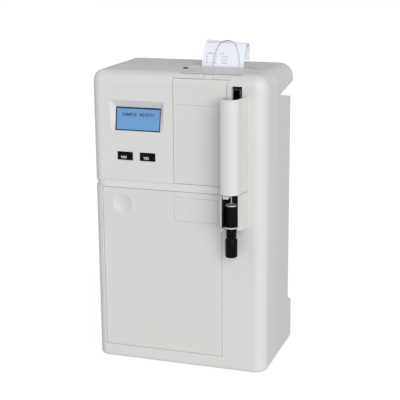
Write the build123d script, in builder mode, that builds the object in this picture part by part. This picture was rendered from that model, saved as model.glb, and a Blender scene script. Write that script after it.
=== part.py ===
from build123d import *
from math import atan2, cos, degrees, pi, radians, sin
import os

os.makedirs("parts", exist_ok=True)

# An electrolyte analyzer for the bench, in millimetres.
# X runs to the right, Y to the back and Z up. The bench is Z = 0, and the origin
# is under the middle of the whole object. Depths are counted from the front face
# of the housing, and heights from the housing's lower edge, which the feet lift.

# Housing
body_width = 237.0
half = body_width / 2
body_height = 395.0
base_depth = 147.0
cover_reach = 33.0
foot_drop = 1.5
wall = 2.5
seam_depth = 59.0
corner_front = 16.0
corner_right = 18.0
corner_left = 13.0
corner_rear = 6.0
corner_base = 4.0
hood_depth = base_depth - 5.0
hood_face_height = body_height - 9.0
hood_low_depth = base_depth - 10.0
hood_low_height = body_height - 24.0
notch_depth = 68.0
notch_height = body_height - 33.0
block_depth = base_depth - 18.0
block_height = body_height - 43.5
foot_ledge_height = 64.0
foot_top_height = foot_ledge_height - 8.0
seam_groove = 0.8
gap = 0.5
clear = 0.3
slack = 0.05

front_y = -(base_depth - cover_reach) / 2
back_y = front_y + base_depth
seam_y = front_y + seam_depth
block_y = front_y + block_depth
low_z = foot_drop
top_z = low_z + body_height

# Doors, front rail and their pins
door_left = 13.0 - half
door_right = half - 58.7
door_height_low = 18.5
door_height_high = body_height - 154.7
door_wall = 4.0
door_panel = 2.5
stile = 8.0
door_round = 0.8
panel_left = half - 123.2
panel_right = half - 51.8
panel_height_low = body_height - 143.8
panel_height_high = body_height - 7.0
panel_flare_height = body_height - 17.0
panel_flare = 4.0
rail_left = 15.2 - half
rail_depth = 5.0
rail_slope = 1.2
rib_depth = 8.0
notch_groove = 1.6
notch_reach = 26.0
jamb = 3.0
jamb_depth = 7.0
rail_band_low = door_height_high + 0.7
rail_band_high = rail_band_low + 8.0
dimple_x = door_left + 27.6
dimple_height = door_height_high - 21.7
dimple_radius = 13.4
dimple_depth = 2.6
plate_left = door_right - 64.8
plate_right = door_right - 5.1
plate_height_low = door_height_high - 39.3
plate_height_high = door_height_high - 7.3
panel_line_height = body_height - 40.3
panel_line = 0.6
pin_radius = 1.0
pin_length = 12.0

door_low = low_z + door_height_low
door_high = low_z + door_height_high
panel_low = low_z + panel_height_low
panel_high = low_z + panel_height_high
rail_low = door_high + gap
rail_high = panel_low - gap
pillar_left = panel_right + gap
door_pin_x = door_right - door_wall
door_pin_y = front_y + door_wall / 2
panel_pin_z = panel_low + door_wall

# Display and keys
lcd_left = -93.0
lcd_right = -17.5
lcd_height_low = body_height - 79.0
lcd_height_high = body_height - 37.0
screen_x = -54.7
screen_height = body_height - 62.5
screen_depth = 3.4
screen_width = 62.6
screen_tall = 31.0
screen_tilt = 9.5
screen_lip = 0.8
lens_thick = 1.0
lens_margin = 1.5
module_width = 70.0
module_tall = 35.0
module_thick = 5.0
peg_x = 30.0
peg_z = 12.0
peg_depth = 7.5
peg_radius = 2.0
key_width = 21.0
key_tall = 10.6
key_height = body_height - 111.2
key_xs = (-72.2, -40.9)
key_proud = 1.0
key_travel = 1.2
key_flange = 1.2
key_rim = 1.5
key_round = 0.6
key_stem = 2.0
switch_body = 6.0
switch_stem = 1.4
board_depth = 16.0
board_thick = 1.6
board_left = 17.5 - half
board_right = panel_left - 5.3
board_height_low = body_height - 131.0
board_height_high = body_height - 21.0
post_radius = 2.8
post_inset = 5.0
lcd_frame = 5.0
lcd_frame_depth = 13.0
board_plug = 5.0

# Sampler in front of the right pillar
probe_x = half - 41.0
probe_depth = -15.0
cover_left = panel_right + 0.7
cover_right = half - 28.2
cover_flare = cover_right + 4.0
cover_wall = 1.4
base_height_low = 200.0
wiper_height_high = 232.8
cover_height_low = wiper_height_high + 15.7
cover_height_high = body_height - 26.0
cover_gap = 0.9
base_cheek = 1.8
base_web = 1.5
base_wall_depth = -18.0
base_right = cover_right - 4.3
wiper_plate = 2.5
wiper_plate_height = base_height_low + 10.0
guide_right = probe_x - 1.9
guide_height_low = wiper_height_high + 8.6
guide_height_high = wiper_height_high + 13.2
guide_front = -24.0
wiper_dish_radius = 6.4
wiper_dish_depth = 2.6
wiper_slope = 2.2
slot_left = probe_x - 4.0
slot_right = probe_x + 9.4
slot_height_high = body_height - 14.0
slot_height_low = body_height - 139.0
slot_wall = 6.0
wiper_radius = 9.2
wiper_height_low = base_height_low + 2.0
wiper_bore = 1.7
needle_radius = 1.25
needle_tip_height = base_height_low - 6.3
needle_top_height = body_height - 57.0
vial_radius = 7.9
vial_wall = 1.0
vial_height_low = base_height_low - 36.5
vial_shoulder_height = base_height_low - 12.0
vial_neck_radius = 5.2
vial_height_high = base_height_low - 0.6
vial_bore = 4.2
clip_wall = 1.1
clip_height_low = base_height_low - 8.5

# Drive of the probe, behind the pillar
drive_depth = 24.0
screw_x = probe_x + 10.5
screw_radius = 3.0
rod_radius = 2.0
rod_pitch = 20.0
carriage_height = body_height - 71.0
carriage_tall = 26.0
carriage_deep = 14.0
carriage_wide = 29.0
arm_wide = 6.0
arm_tall = 12.0
arm_nose = 3.5
hose_x = screw_x - 8.0
hose_depth = 36.0
hose_tab = 3.0
hose_radius = 1.2
hose_bore = 0.6
screw_journal = 2.0
bracket_height_low = body_height - 133.0
bracket_height_high = body_height - 21.0
bracket_sheet = 2.0
bracket_wide = 32.0
bracket_front = 14.0
bracket_depth = 42.0
motor_size = 28.0
motor_tall = 32.0

# Printer under the lid
lid_left = half - 116.5
lid_right = half - 34.5
lid_front_depth = 10.6
lid_play = 0.8
lid_arc_depth = 57.0
lid_apex_depth = 74.4
lid_bevel = 1.6
lid_pin_depth = 8.2
lid_pin_drop = 5.8
knuckle_radius = 3.2
knuckle_left = lid_left + 32.5
knuckle_right = knuckle_left + 13.0
paper_left = lid_left + 7.5
paper_width = 57.5
paper_thick = 0.3
roll_radius = 17.0
roll_core = 6.0
roll_depth = 33.0
roll_drop = 23.0
platen_depth = 70.0
platen_drop = 15.5
platen_radius = 5.0
shaft_radius = 1.5
frame_wall = 2.0
frame_low_height = body_height - 46.5
frame_front_depth = 15.0
frame_rear_depth = platen_depth + 13.0
frame_step_height = notch_height - 1.0
frame_notch_height = notch_height + 7.0
head_sink = 2.5
head_rise = 8.5
head_thick = 4.0
gear_module = 0.9
gear_teeth = 20
pinion_teeth = 10
gear_wide = 3.5
mesh_slack = 0.2
printer_motor_radius = 6.8
printer_motor_long = 18.0
slip_height = body_height + 33.5
slip_lean = 17.0
hoop_depth = 50.0
hoop_x = lid_left + 48.3
hoop_half = 18.1
hoop_tall = 37.4
hoop_top_radius = 13.7
hoop_lean = 14.0
hoop_wire = 0.65
recess_left = lid_left - 10.0
recess_right = lid_right + 10.0
recess_arc_depth = 60.0
recess_apex_depth = 88.0
recess_drop = 2.4
lamp_x = lid_left - 5.6
lamp_depth = 47.0
lamp_radius = 2.6
lamp_proud = 0.8
lamp_barb = 3.0

# Chassis, reagents and fluids
chassis_depth = 78.0
chassis_sheet = 2.0
chassis_inset = 6.5
cutout_height_low = 200.0
cutout_height_high = 230.0
chassis_height_high = body_height - 51.0
bay_left = door_left + 2.5
bay_right = door_right - 1.8
bay_wall = 2.0
bay_flange = 5.0
bay_height_low = door_height_low + 2.5
bay_height_high = door_height_high - 4.8
pack_side = 1.5
pack_depth = 18.0
pack_deep = 50.0
pack_height_high = bay_height_high - 30.5
pack_round = 4.0
grip_wide = 60.0
grip_tall = 16.0
grip_deep = 14.0
manifold_depth = 69.0
manifold_height = 58.0
manifold_tall = 16.0
manifold_x = (bay_left + bay_right) / 2
nozzle_radius = 2.5
nozzle_long = 7.0
nozzle_count = 6
nozzle_pitch = 14.0
fluid_depth = 34.0
fluid_sheet = 2.0
fluid_left = panel_left + 0.7
fluid_right = panel_right - 0.7
fluid_height_low = body_height - 142.0
fluid_height_high = body_height - 46.5
pump_x = fluid_left + 23.0
pump_height = body_height - 83.0
pump_outer = 19.0
pump_inner = 16.6
pump_front_depth = 20.0
pump_foot_height = pump_height - 19.0
pump_foot_wide = 6.0
disc_radius = 13.8
disc_thick = 2.0
core_radius = 6.0
roller_count = 3
roller_axle = 0.8
roller_orbit = 11.0
roller_radius = 3.2
tube_radius = 0.9
pump_motor_radius = 14.0
pump_motor_long = 28.0
valve_height = body_height - 124.0
valve_size = 26.0
valve_rotor_radius = 9.0
valve_rotor_thick = 3.0
valve_key_wide = 4.0
valve_motor_radius = 11.0
valve_motor_long = 24.0
electrode_x = fluid_right - 12.5
electrode_wide = 20.0
electrode_deep = 16.0
electrode_tall = 14.6
electrode_gap = 0.2
electrode_names = ("sodium", "potassium", "chloride", "reference")
stack_front = 16.0
stack_height = body_height - 121.0
holder_left = electrode_x - 11.5
holder_right = electrode_x + 11.5
holder_front = 14.0
holder_low_height = stack_height - 10.0
holder_cap = 3.0
lumen = 0.8
window_radius = 5.0
window_deep = 1.2
lever_x = electrode_x + 6.5
lever_height = stack_height - 6.0
lever_long = 22.0
lever_half = 3.0
lever_depth = 10.0
lever_pin_depth = 24.0

# Boards and sockets at the back
main_left = 14.5 - half
main_right = 20.0
main_height_low = body_height - 205.0
main_height_high = body_height - 60.0
chip_size = 24.0
chip_high = 4.0
plug_high = 10.0
standoff = 4.0
standoff_radius = 3.0
standoff_inset = 8.0
supply_left = -46.0
supply_right = half - 56.5
supply_height_low = 14.0
supply_height_high = 120.0
supply_deep = 36.0
supply_slots = 7
slot_pitch = 12.0
inlet_x = 36.5 - half
inlet_height = 92.0
inlet_wide = 28.0
inlet_tall = 48.0
inlet_deep = 24.0
inlet_rim = 2.0
socket_height = inlet_height - 13.0
socket_wide = 23.0
socket_tall = 15.0
socket_deep = 15.0
blade_long = 12.0
rocker_height = inlet_height + 11.0
rocker_wide = 11.0
rocker_half = 9.5
rocker_pivot = block_depth - 1.0
rocker_tilt = 8.0
rocker_stub = 1.2
stub_radius = 1.2
blade_pitch = 7.0
blade_wide = 2.0
blade_tall = 4.0
serial_x = 46.5 - half
serial_height = body_height - 159.0
serial_wide = 17.0
serial_tall = 9.0
serial_flange = 30.8
serial_deep = 11.0
vent_x = half - 78.5
vent_height = body_height - 145.0
vent_columns = 2
vent_rows = 9
vent_long = 40.0
vent_tall = 3.0
vent_pitch = 7.5
vent_bar = 6.0
screw_x_low = half - 12.5
screw_height_low = 9.8
screw_x_high = half - 10.5
screw_height_high = body_height - 57.0
boss_radius = 3.4
screw_shank = 1.5
screw_grip = 10.0
screw_seat = 4.0
head_radius = 2.9
head_tall = 2.2
rear_post = 5.0
foot_radius = 8.0
foot_seat = 1.0
foot_inset = 24.0


def block(x0, x1, y0, y1, z0, z1, mode=Mode.ADD):
    """A box between two corners, joined to the part being built."""
    with Locations(((x0 + x1) / 2, (y0 + y1) / 2, (z0 + z1) / 2)):
        Box(x1 - x0, y1 - y0, z1 - z0, mode=mode)


def rod_x(y, z, x0, x1, radius, mode=Mode.ADD):
    """A cylinder along X."""
    with Locations(Location(((x0 + x1) / 2, y, z), (0, 90, 0))):
        Cylinder(radius, x1 - x0, mode=mode)


def rod_y(x, z, y0, y1, radius, mode=Mode.ADD):
    """A cylinder along Y."""
    with Locations(Location((x, (y0 + y1) / 2, z), (90, 0, 0))):
        Cylinder(radius, y1 - y0, mode=mode)


def rod_z(x, y, z0, z1, radius, mode=Mode.ADD):
    """A cylinder along Z."""
    with Locations((x, y, (z0 + z1) / 2)):
        Cylinder(radius, z1 - z0, mode=mode)


def cell(x0, x1, depth0, depth1, height0, height1, mode=Mode.ADD):
    """A box between two corners, in depths and heights."""
    block(x0, x1, front_y + depth0, front_y + depth1, low_z + height0, low_z + height1, mode)


def bar_x(depth, height, x0, x1, radius, mode=Mode.ADD):
    """A cylinder along X, in depth and height."""
    rod_x(front_y + depth, low_z + height, x0, x1, radius, mode)


def bar_y(x, height, depth0, depth1, radius, mode=Mode.ADD):
    """A cylinder along Y, in depths and height."""
    rod_y(x, low_z + height, front_y + depth0, front_y + depth1, radius, mode)


def bar_z(x, depth, height0, height1, radius, mode=Mode.ADD):
    """A cylinder along Z, in depth and heights."""
    rod_z(x, front_y + depth, low_z + height0, low_z + height1, radius, mode)


def front_plane(depth):
    """A plane that faces the front; its sketches grow to the back with a negative extrude."""
    return Plane.XZ.offset(-(front_y + depth))


def housing_solid(inset):
    """The closed housing, drawn in from its outside by inset on every side."""
    left = -half + inset
    right = half - inset
    low = low_z + inset
    high = top_z - inset
    front = front_y + inset
    hood = front_y + hood_depth - inset
    with BuildPart() as body:
        block(left, right, front, hood, low, high)
        top = body.faces().sort_by(Axis.Z)[-1]
        fillet(top.edges().filter_by(Axis.Y).sort_by(Axis.X)[-1], corner_right - inset)
        rim = body.faces().sort_by(Axis.Y)[0].edges()
        chain = [edge for edge in rim if edge.center().Z > low + 1 and edge.center().X > left + 1]
        fillet(chain, corner_front - inset)
        shoulder = body.edges().filter_by(Axis.Y).group_by(Axis.Z)[-1]
        fillet(shoulder.sort_by(Axis.X)[0], corner_left - inset)
        rear = body.faces().sort_by(Axis.Y)[-1].edges()
        fillet([edge for edge in rear if edge.center().Z > low + 1], corner_rear - inset)
        with BuildSketch(Plane.YZ.offset(-body_width)):
            with BuildLine():
                Polyline(
                    (back_y + wall, top_z + wall),
                    (front_y + hood_depth + wall, top_z + wall),
                    (front_y + hood_depth, low_z + hood_face_height),
                    (front_y + hood_low_depth, low_z + hood_low_height),
                    (front_y + notch_depth, low_z + notch_height),
                    (block_y, low_z + block_height),
                    (block_y, 0),
                    (back_y + wall, 0),
                    close=True,
                )
            make_face()
            if inset:
                offset(amount=inset, kind=Kind.ARC, mode=Mode.REPLACE)
        extrude(amount=2 * body_width, mode=Mode.SUBTRACT)
        uprights = body.edges().filter_by(Axis.Z)
        heels = [edge for edge in uprights if abs(edge.center().Y - block_y + inset) < 1]
        fillet(heels, corner_rear - inset)
        with BuildSketch(Plane.YZ.offset(left)):
            with BuildLine():
                Polyline(
                    (seam_y, low),
                    (back_y - inset, low),
                    (back_y - inset, low_z + foot_top_height - inset),
                    (block_y - inset, low_z + foot_ledge_height - inset),
                    (seam_y, low_z + foot_ledge_height - inset),
                    close=True,
                )
            make_face()
        extrude(amount=right - left)
        uprights = body.edges().filter_by(Axis.Z)
        heels = [edge for edge in uprights if abs(edge.center().Y - back_y + inset) < 1]
        fillet(heels, corner_rear - inset)
        floor = body.faces().sort_by(Axis.Z)[0]
        fillet(floor.edges(), corner_base - inset)
    return body.part


def panel_prism(margin):
    """The outline of the electrode door, widened by margin and run through the front."""
    left = panel_left - margin
    right = panel_right + margin
    with BuildPart() as prism:
        with BuildSketch(front_plane(-5)):
            with BuildLine():
                Polyline(
                    (right, low_z + panel_flare_height),
                    (right, panel_low - margin),
                    (left, panel_low - margin),
                    (left, panel_high + margin),
                    (right + panel_flare, panel_high + margin),
                )
                ThreePointArc(
                    (right + panel_flare, panel_high + margin),
                    (right + panel_flare * 0.3, low_z + (panel_flare_height + panel_height_high) / 2 + 0.8),
                    (right, low_z + panel_flare_height),
                )
            make_face()
        extrude(amount=-25)
    return prism.part


def lid_prism(margin, low, high):
    """The outline of the printer lid, widened by margin, between two heights."""
    left = lid_left - margin
    right = lid_right + margin
    front = front_y + lid_front_depth - margin
    with BuildPart() as prism:
        with BuildSketch(Plane.XY.offset(low)):
            with BuildLine():
                Polyline(
                    (left, front_y + lid_arc_depth),
                    (left, front),
                    (right, front),
                    (right, front_y + lid_arc_depth),
                )
                ThreePointArc(
                    (right, front_y + lid_arc_depth),
                    ((left + right) / 2, front_y + lid_apex_depth + margin),
                    (left, front_y + lid_arc_depth),
                )
            make_face()
        extrude(amount=high - low)
    return prism.part


def sampler_solid(inset, low, high, rear=0.0):
    """The D-shaped outline shared by the sampler cover and its base."""
    left = cover_left + inset
    nose = front_y - cover_reach + inset
    with BuildPart() as prism:
        with BuildSketch(Plane.XY.offset(low)):
            with BuildLine():
                Polyline(
                    (cover_right - inset, front_y - 22),
                    (cover_flare - inset, front_y - clear + rear),
                    (left, front_y - clear + rear),
                    (left, nose + 3),
                )
                ThreePointArc((left, nose + 3), (left + 11, nose), (cover_right - 4.5, nose + 2.4))
                ThreePointArc(
                    (cover_right - 4.5, nose + 2.4),
                    (cover_right - 1.1 - inset * 0.7, nose + 5.8),
                    (cover_right - inset, front_y - 22),
                )
            make_face()
        extrude(amount=high - low)
    return prism.part


outer = housing_solid(0)
inner = housing_solid(wall)
with BuildPart() as skin:
    add(outer)
    add(inner, mode=Mode.SUBTRACT)

screen_plane = Plane(
    origin=(screen_x, front_y + screen_depth, low_z + screen_height),
    x_dir=(1, 0, 0),
    z_dir=(0, -cos(radians(screen_tilt)), sin(radians(screen_tilt))),
)
lid_pin_y = front_y + lid_pin_depth
lid_pin_z = top_z - lid_pin_drop
pin_half = pin_length / 2
chassis_y = front_y + chassis_depth
skin_y = front_y + wall - gap
board_y = front_y + board_depth
board_middle = (board_left + board_right) / 2
board_half = (board_right - board_left) / 2
key_z = low_z + key_height

# A shallow groove that carries the rail's line round the left corner
with BuildPart() as left_notch:
    add(outer)
    add(housing_solid(notch_groove), mode=Mode.SUBTRACT)
    block(-body_width, rail_left, front_y - 1, front_y + notch_reach,
          low_z + rail_band_low, low_z + rail_band_high, Mode.INTERSECT)

# A fine groove round the edge of the rear shell, where the two shells meet
with BuildPart() as seam_line:
    add(outer)
    add(housing_solid(seam_groove), mode=Mode.SUBTRACT)
    block(-body_width, body_width, seam_y - 1, seam_y + seam_groove, -1, top_z + wall, Mode.INTERSECT)

# Front shell
with BuildPart() as front_shell:
    add(skin.part)
    block(-body_width, body_width, seam_y, back_y + wall, -1, top_z + wall, Mode.SUBTRACT)
    block(lcd_left - lcd_frame, lcd_right + lcd_frame, skin_y, front_y + lcd_frame_depth,
          low_z + lcd_height_low - lcd_frame, low_z + lcd_height_high + lcd_frame)
    block(rail_left - jamb * 2, slot_left, skin_y, front_y + rib_depth, rail_low, rail_high)
    block(door_left - gap - jamb, door_right + gap + jamb, skin_y, front_y + jamb_depth,
          door_low - gap - jamb, rail_low)
    block(door_pin_x - 4, door_pin_x + 4, skin_y, front_y + jamb_depth, low_z + 5, door_low - gap)
    block(panel_left - gap - pin_half - 2, panel_left - gap, skin_y, front_y + jamb_depth,
          rail_high - 1, panel_pin_z + 4)
    block(pillar_left, slot_left, skin_y, front_y + jamb_depth, rail_high - 1, panel_pin_z + 4)
    block(slot_left - 3, slot_right + 3, skin_y, front_y + slot_wall, low_z + slot_height_low - 4,
          low_z + slot_height_high + 4)
    rod_x(lid_pin_y, lid_pin_z, knuckle_left - clear - pin_half - 1, knuckle_left - clear,
          knuckle_radius - gap)
    rod_x(lid_pin_y, lid_pin_z, knuckle_right + clear, knuckle_right + clear + pin_half + 1,
          knuckle_radius - gap)
    for x in (-1, 1):
        rod_y(x * screw_x_low, low_z + screw_height_low, skin_y, chassis_y, boss_radius)
        rod_y(x * screw_x_high, low_z + screw_height_high, skin_y, chassis_y, boss_radius)
        for z in (board_height_low + post_inset, board_height_high - post_inset):
            rod_y(board_middle + x * (board_half - post_inset), low_z + z, skin_y, board_y, post_radius)
    block(door_left - gap, door_right + gap, front_y - 1, front_y + 2 * jamb_depth, door_low - gap, rail_low,
          Mode.SUBTRACT)
    block(rail_left, pillar_left, front_y - 1, front_y + rail_depth, rail_low - 1, rail_high + clear,
          Mode.SUBTRACT)
    add(panel_prism(gap), mode=Mode.SUBTRACT)
    add(lid_prism(gap, top_z - 12, top_z + 5), mode=Mode.SUBTRACT)
    block(lid_left - gap, lid_right + gap, front_y + lid_front_depth - lid_play, front_y + lid_arc_depth,
          top_z - 12, top_z + 1, Mode.SUBTRACT)
    block(knuckle_left - clear, knuckle_right + clear, front_y - 1, front_y + 18,
          lid_pin_z - knuckle_radius - clear, top_z + 1, Mode.SUBTRACT)
    rod_x(lid_pin_y, lid_pin_z, knuckle_left - pin_half - clear, knuckle_right + pin_half + clear,
          pin_radius + slack, Mode.SUBTRACT)
    rod_x(door_pin_y, panel_pin_z, panel_left - gap - pin_half, pillar_left + pin_half,
          pin_radius + slack, Mode.SUBTRACT)
    rod_z(door_pin_x, door_pin_y, door_low - gap - pin_half, rail_low + pin_half,
          pin_radius + slack, Mode.SUBTRACT)
    with BuildSketch(front_plane(-0.5)):
        with Locations(((lcd_left + lcd_right) / 2, low_z + (lcd_height_low + lcd_height_high) / 2)):
            Rectangle(lcd_right - lcd_left, lcd_height_high - lcd_height_low)
    with BuildSketch(screen_plane):
        Rectangle(screen_width, screen_tall)
    loft(mode=Mode.SUBTRACT)
    with BuildSketch(screen_plane):
        Rectangle(screen_width, screen_tall)
    extrude(amount=-screen_lip, mode=Mode.SUBTRACT)
    with BuildSketch(screen_plane.offset(-screen_lip)):
        Rectangle(module_width + 2 * clear, module_tall + 2 * clear)
    extrude(amount=-20, mode=Mode.SUBTRACT)
    for x in key_xs:
        block(x - key_width / 2 - clear, x + key_width / 2 + clear, front_y - 1, front_y + wall + 1,
              key_z - key_tall / 2 - clear, key_z + key_tall / 2 + clear, Mode.SUBTRACT)
    block(slot_left, slot_right, front_y - 1, front_y + slot_wall + 1, low_z + slot_height_low,
          low_z + slot_height_high, Mode.SUBTRACT)
    rod_z(lamp_x, front_y + lamp_depth, top_z - wall - 1, top_z + 1, lamp_radius - 0.6, Mode.SUBTRACT)
    for x in (-1, 1):
        rod_z(x * (half - foot_inset), front_y + foot_inset, low_z - 1, low_z + foot_seat,
              foot_radius + slack, Mode.SUBTRACT)
        rod_y(x * screw_x_low, low_z + screw_height_low, chassis_y - screw_grip - 2, chassis_y + 1,
              screw_shank + slack, Mode.SUBTRACT)
        rod_y(x * screw_x_high, low_z + screw_height_high, chassis_y - screw_grip - 2, chassis_y + 1,
              screw_shank + slack, Mode.SUBTRACT)
    add(left_notch.part, mode=Mode.SUBTRACT)
front_shell.part.label = "front_shell"
export_step(front_shell.part, "parts/front_shell.step")

# Rear shell, with the hand grip notch, the paper recess and the sockets' openings
with BuildPart() as rear_shell:
    add(skin.part)
    block(-body_width, body_width, front_y - 1, seam_y, -1, top_z + wall, Mode.SUBTRACT)
    block(recess_left, recess_right, seam_y, front_y + recess_apex_depth + 3,
          top_z - wall - recess_drop, top_z - 1)
    for x in (-1, 1):
        rod_y(x * screw_x_low, low_z + screw_height_low, chassis_y + chassis_sheet, back_y - 1, rear_post)
        rod_y(x * screw_x_high, low_z + screw_height_high, chassis_y + chassis_sheet, block_y - 1, rear_post)
    with BuildSketch(Plane.XY.offset(top_z - recess_drop)):
        with BuildLine():
            Line((recess_right, front_y + recess_arc_depth), (recess_left, front_y + recess_arc_depth))
            ThreePointArc(
                (recess_left, front_y + recess_arc_depth),
                ((recess_left + recess_right) / 2, front_y + recess_apex_depth),
                (recess_right, front_y + recess_arc_depth),
            )
        make_face()
    extrude(amount=recess_drop + 1, mode=Mode.SUBTRACT)
    add(lid_prism(gap, top_z - 12, top_z + 5), mode=Mode.SUBTRACT)
    block(paper_left - 2, paper_left + paper_width + 2, front_y + platen_depth,
          front_y + lid_apex_depth + 3, top_z - 12, top_z + 1, Mode.SUBTRACT)
    block(inlet_x - inlet_wide / 2 - slack, inlet_x + inlet_wide / 2 + slack, block_y - wall - 1, block_y + 1,
          low_z + inlet_height - inlet_tall / 2 - slack, low_z + inlet_height + inlet_tall / 2 + slack,
          Mode.SUBTRACT)
    block(serial_x - serial_wide / 2 - slack, serial_x + serial_wide / 2 + slack, block_y - wall - 1,
          block_y + 1, low_z + serial_height - serial_tall / 2 - slack,
          low_z + serial_height + serial_tall / 2 + slack, Mode.SUBTRACT)
    for column in range(vent_columns):
        for row in range(vent_rows):
            x = vent_x + (column - (vent_columns - 1) / 2) * (vent_long + vent_bar)
            z = low_z + vent_height + (row - (vent_rows - 1) / 2) * vent_pitch
            block(x - vent_long / 2, x + vent_long / 2, block_y - wall - 1, block_y + 1,
                  z - vent_tall / 2, z + vent_tall / 2, Mode.SUBTRACT)
    for x in (-1, 1):
        for across, up in ((screw_x_low, screw_height_low), (screw_x_high, screw_height_high)):
            rod_y(x * across, low_z + up, chassis_y, back_y + 1, screw_shank + slack, Mode.SUBTRACT)
            rod_y(x * across, low_z + up, chassis_y + chassis_sheet + screw_seat, back_y + 1,
                  head_radius + clear, Mode.SUBTRACT)
        rod_z(x * (half - foot_inset), back_y - foot_inset, low_z - 1, low_z + foot_seat,
              foot_radius + slack, Mode.SUBTRACT)
    add(seam_line.part, mode=Mode.SUBTRACT)
rear_shell.part.label = "rear_shell"
export_step(rear_shell.part, "parts/rear_shell.step")

# Front rail between the two doors; its slanted face catches the light
with BuildPart() as front_rail:
    with BuildSketch(Plane.YZ.offset(rail_left)):
        with BuildLine():
            Polyline(
                (front_y + rail_depth, rail_low),
                (front_y, rail_low),
                (front_y, rail_low + 1),
                (front_y + rail_slope, rail_high),
                (front_y + rail_depth, rail_high),
                close=True,
            )
        make_face()
    extrude(amount=pillar_left - rail_left)
    rod_z(door_pin_x, door_pin_y, rail_low - 1, rail_low + pin_half, pin_radius + slack, Mode.SUBTRACT)
front_rail.part.label = "front_rail"
export_step(front_rail.part, "parts/front_rail.step")

# Hinge pins: six equal steel dowels, two for each door and two for the printer lid
with BuildPart() as hinge_pins:
    rod_z(door_pin_x, door_pin_y, door_low - gap / 2 - pin_half, door_low - gap / 2 + pin_half, pin_radius)
    rod_z(door_pin_x, door_pin_y, rail_low - gap / 2 - pin_half, rail_low - gap / 2 + pin_half, pin_radius)
    for x in (panel_left - gap / 2, pillar_left - gap / 2):
        rod_x(door_pin_y, panel_pin_z, x - pin_half, x + pin_half, pin_radius)
    for x in (knuckle_left - clear / 2, knuckle_right + clear / 2):
        rod_x(lid_pin_y, lid_pin_z, x - pin_half, x + pin_half, pin_radius)
hinge_pins.part.label = "hinge_pins"
export_step(hinge_pins.part, "parts/hinge_pins.step")

# Main door, a pressed panel with a stiffer stile all round and a finger dimple
dimple_ball = (dimple_radius**2 + dimple_depth**2) / (2 * dimple_depth)
with BuildPart() as main_door:
    block(door_left, door_right, front_y, front_y + door_wall, door_low, door_high)
    block(door_left + stile, door_right - stile, front_y + door_panel, front_y + door_wall + 1,
          door_low + stile, door_high - stile, Mode.SUBTRACT)
    side = main_door.edges().filter_by(Axis.Z)
    fillet([edge for edge in side if abs(edge.center().X - door_right) < 0.1], door_round)
    rod_y(dimple_x, low_z + dimple_height, front_y + 1, front_y + door_wall + 1, dimple_radius + 2)
    with Locations((dimple_x, front_y + dimple_depth - dimple_ball, low_z + dimple_height)):
        Sphere(dimple_ball, mode=Mode.SUBTRACT)
    block(plate_left, plate_right, front_y - 1, front_y + panel_line, low_z + plate_height_low,
          low_z + plate_height_high, Mode.SUBTRACT)
    block(plate_left + panel_line, plate_right - panel_line, front_y, front_y + panel_line + 1,
          low_z + plate_height_low + panel_line, low_z + plate_height_high - panel_line)
    rod_z(door_pin_x, door_pin_y, door_low - 1, door_low - gap / 2 + pin_half + slack,
          pin_radius + slack, Mode.SUBTRACT)
    rod_z(door_pin_x, door_pin_y, rail_low - gap / 2 - pin_half - slack, door_high + 1,
          pin_radius + slack, Mode.SUBTRACT)
main_door.part.label = "main_door"
export_step(main_door.part, "parts/main_door.step")

# Electrode door, which follows the housing over its rounded front edge
with BuildPart() as electrode_door:
    add(skin.part)
    add(panel_prism(0), mode=Mode.INTERSECT)
    block(panel_left, panel_right, front_y, front_y + door_wall, panel_low, panel_low + stile)
    hem = electrode_door.faces().sort_by(Axis.Z)[0].edges().filter_by(Axis.X)
    fillet(hem, door_round)
    block(panel_left - 1, panel_right + 1, front_y - 1, front_y + panel_line,
          low_z + panel_line_height, low_z + panel_line_height + panel_line, Mode.SUBTRACT)
    rod_x(lid_pin_y, lid_pin_z, knuckle_left - gap, knuckle_right + gap, knuckle_radius + gap, Mode.SUBTRACT)
    rod_x(door_pin_y, panel_pin_z, panel_left - 1, panel_left - gap / 2 + pin_half + slack,
          pin_radius + slack, Mode.SUBTRACT)
    rod_x(door_pin_y, panel_pin_z, pillar_left - gap / 2 - pin_half - slack, panel_right + 1,
          pin_radius + slack, Mode.SUBTRACT)
electrode_door.part.label = "electrode_door"
export_step(electrode_door.part, "parts/electrode_door.step")

# Printer lid, cut from the top of the housing, with its knuckle at the front
with BuildPart() as printer_lid:
    add(skin.part)
    add(lid_prism(0, top_z - 12, top_z + 5), mode=Mode.INTERSECT)
    block(lid_left - 1, lid_right + 1, front_y, front_y + lid_front_depth + lid_bevel, top_z - 12,
          top_z - wall - 0.1, Mode.SUBTRACT)
    with BuildSketch(Plane.YZ.offset(lid_left - 1)):
        with BuildLine():
            Polyline(
                (front_y + lid_front_depth - 1, top_z - wall - 2),
                (front_y + lid_front_depth + lid_bevel + 1, top_z - wall - 2),
                (front_y + lid_front_depth + lid_bevel + 1, top_z - wall),
                (front_y + lid_front_depth - 1, top_z - wall + lid_bevel + 1),
                close=True,
            )
        make_face()
    extrude(amount=lid_right - lid_left + 2, mode=Mode.SUBTRACT)
    rod_x(lid_pin_y, lid_pin_z, knuckle_left, knuckle_right, knuckle_radius)
    block(knuckle_left, knuckle_right, lid_pin_y, front_y + lid_front_depth + 8, lid_pin_z - 1.5,
          top_z - wall + 0.6)
    rod_x(lid_pin_y, lid_pin_z, knuckle_left - 1, knuckle_left - clear / 2 + pin_half + slack,
          pin_radius + slack, Mode.SUBTRACT)
    rod_x(lid_pin_y, lid_pin_z, knuckle_right + clear / 2 - pin_half - slack, knuckle_right + 1,
          pin_radius + slack, Mode.SUBTRACT)
    for x in (hoop_x - hoop_half, hoop_x + hoop_half):
        with Locations(Location((x, front_y + hoop_depth, top_z), (-hoop_lean, 0, 0))):
            Cylinder(hoop_wire + slack, 4 * wall, mode=Mode.SUBTRACT)
printer_lid.part.label = "printer_lid"
export_step(printer_lid.part, "parts/printer_lid.step")

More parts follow.
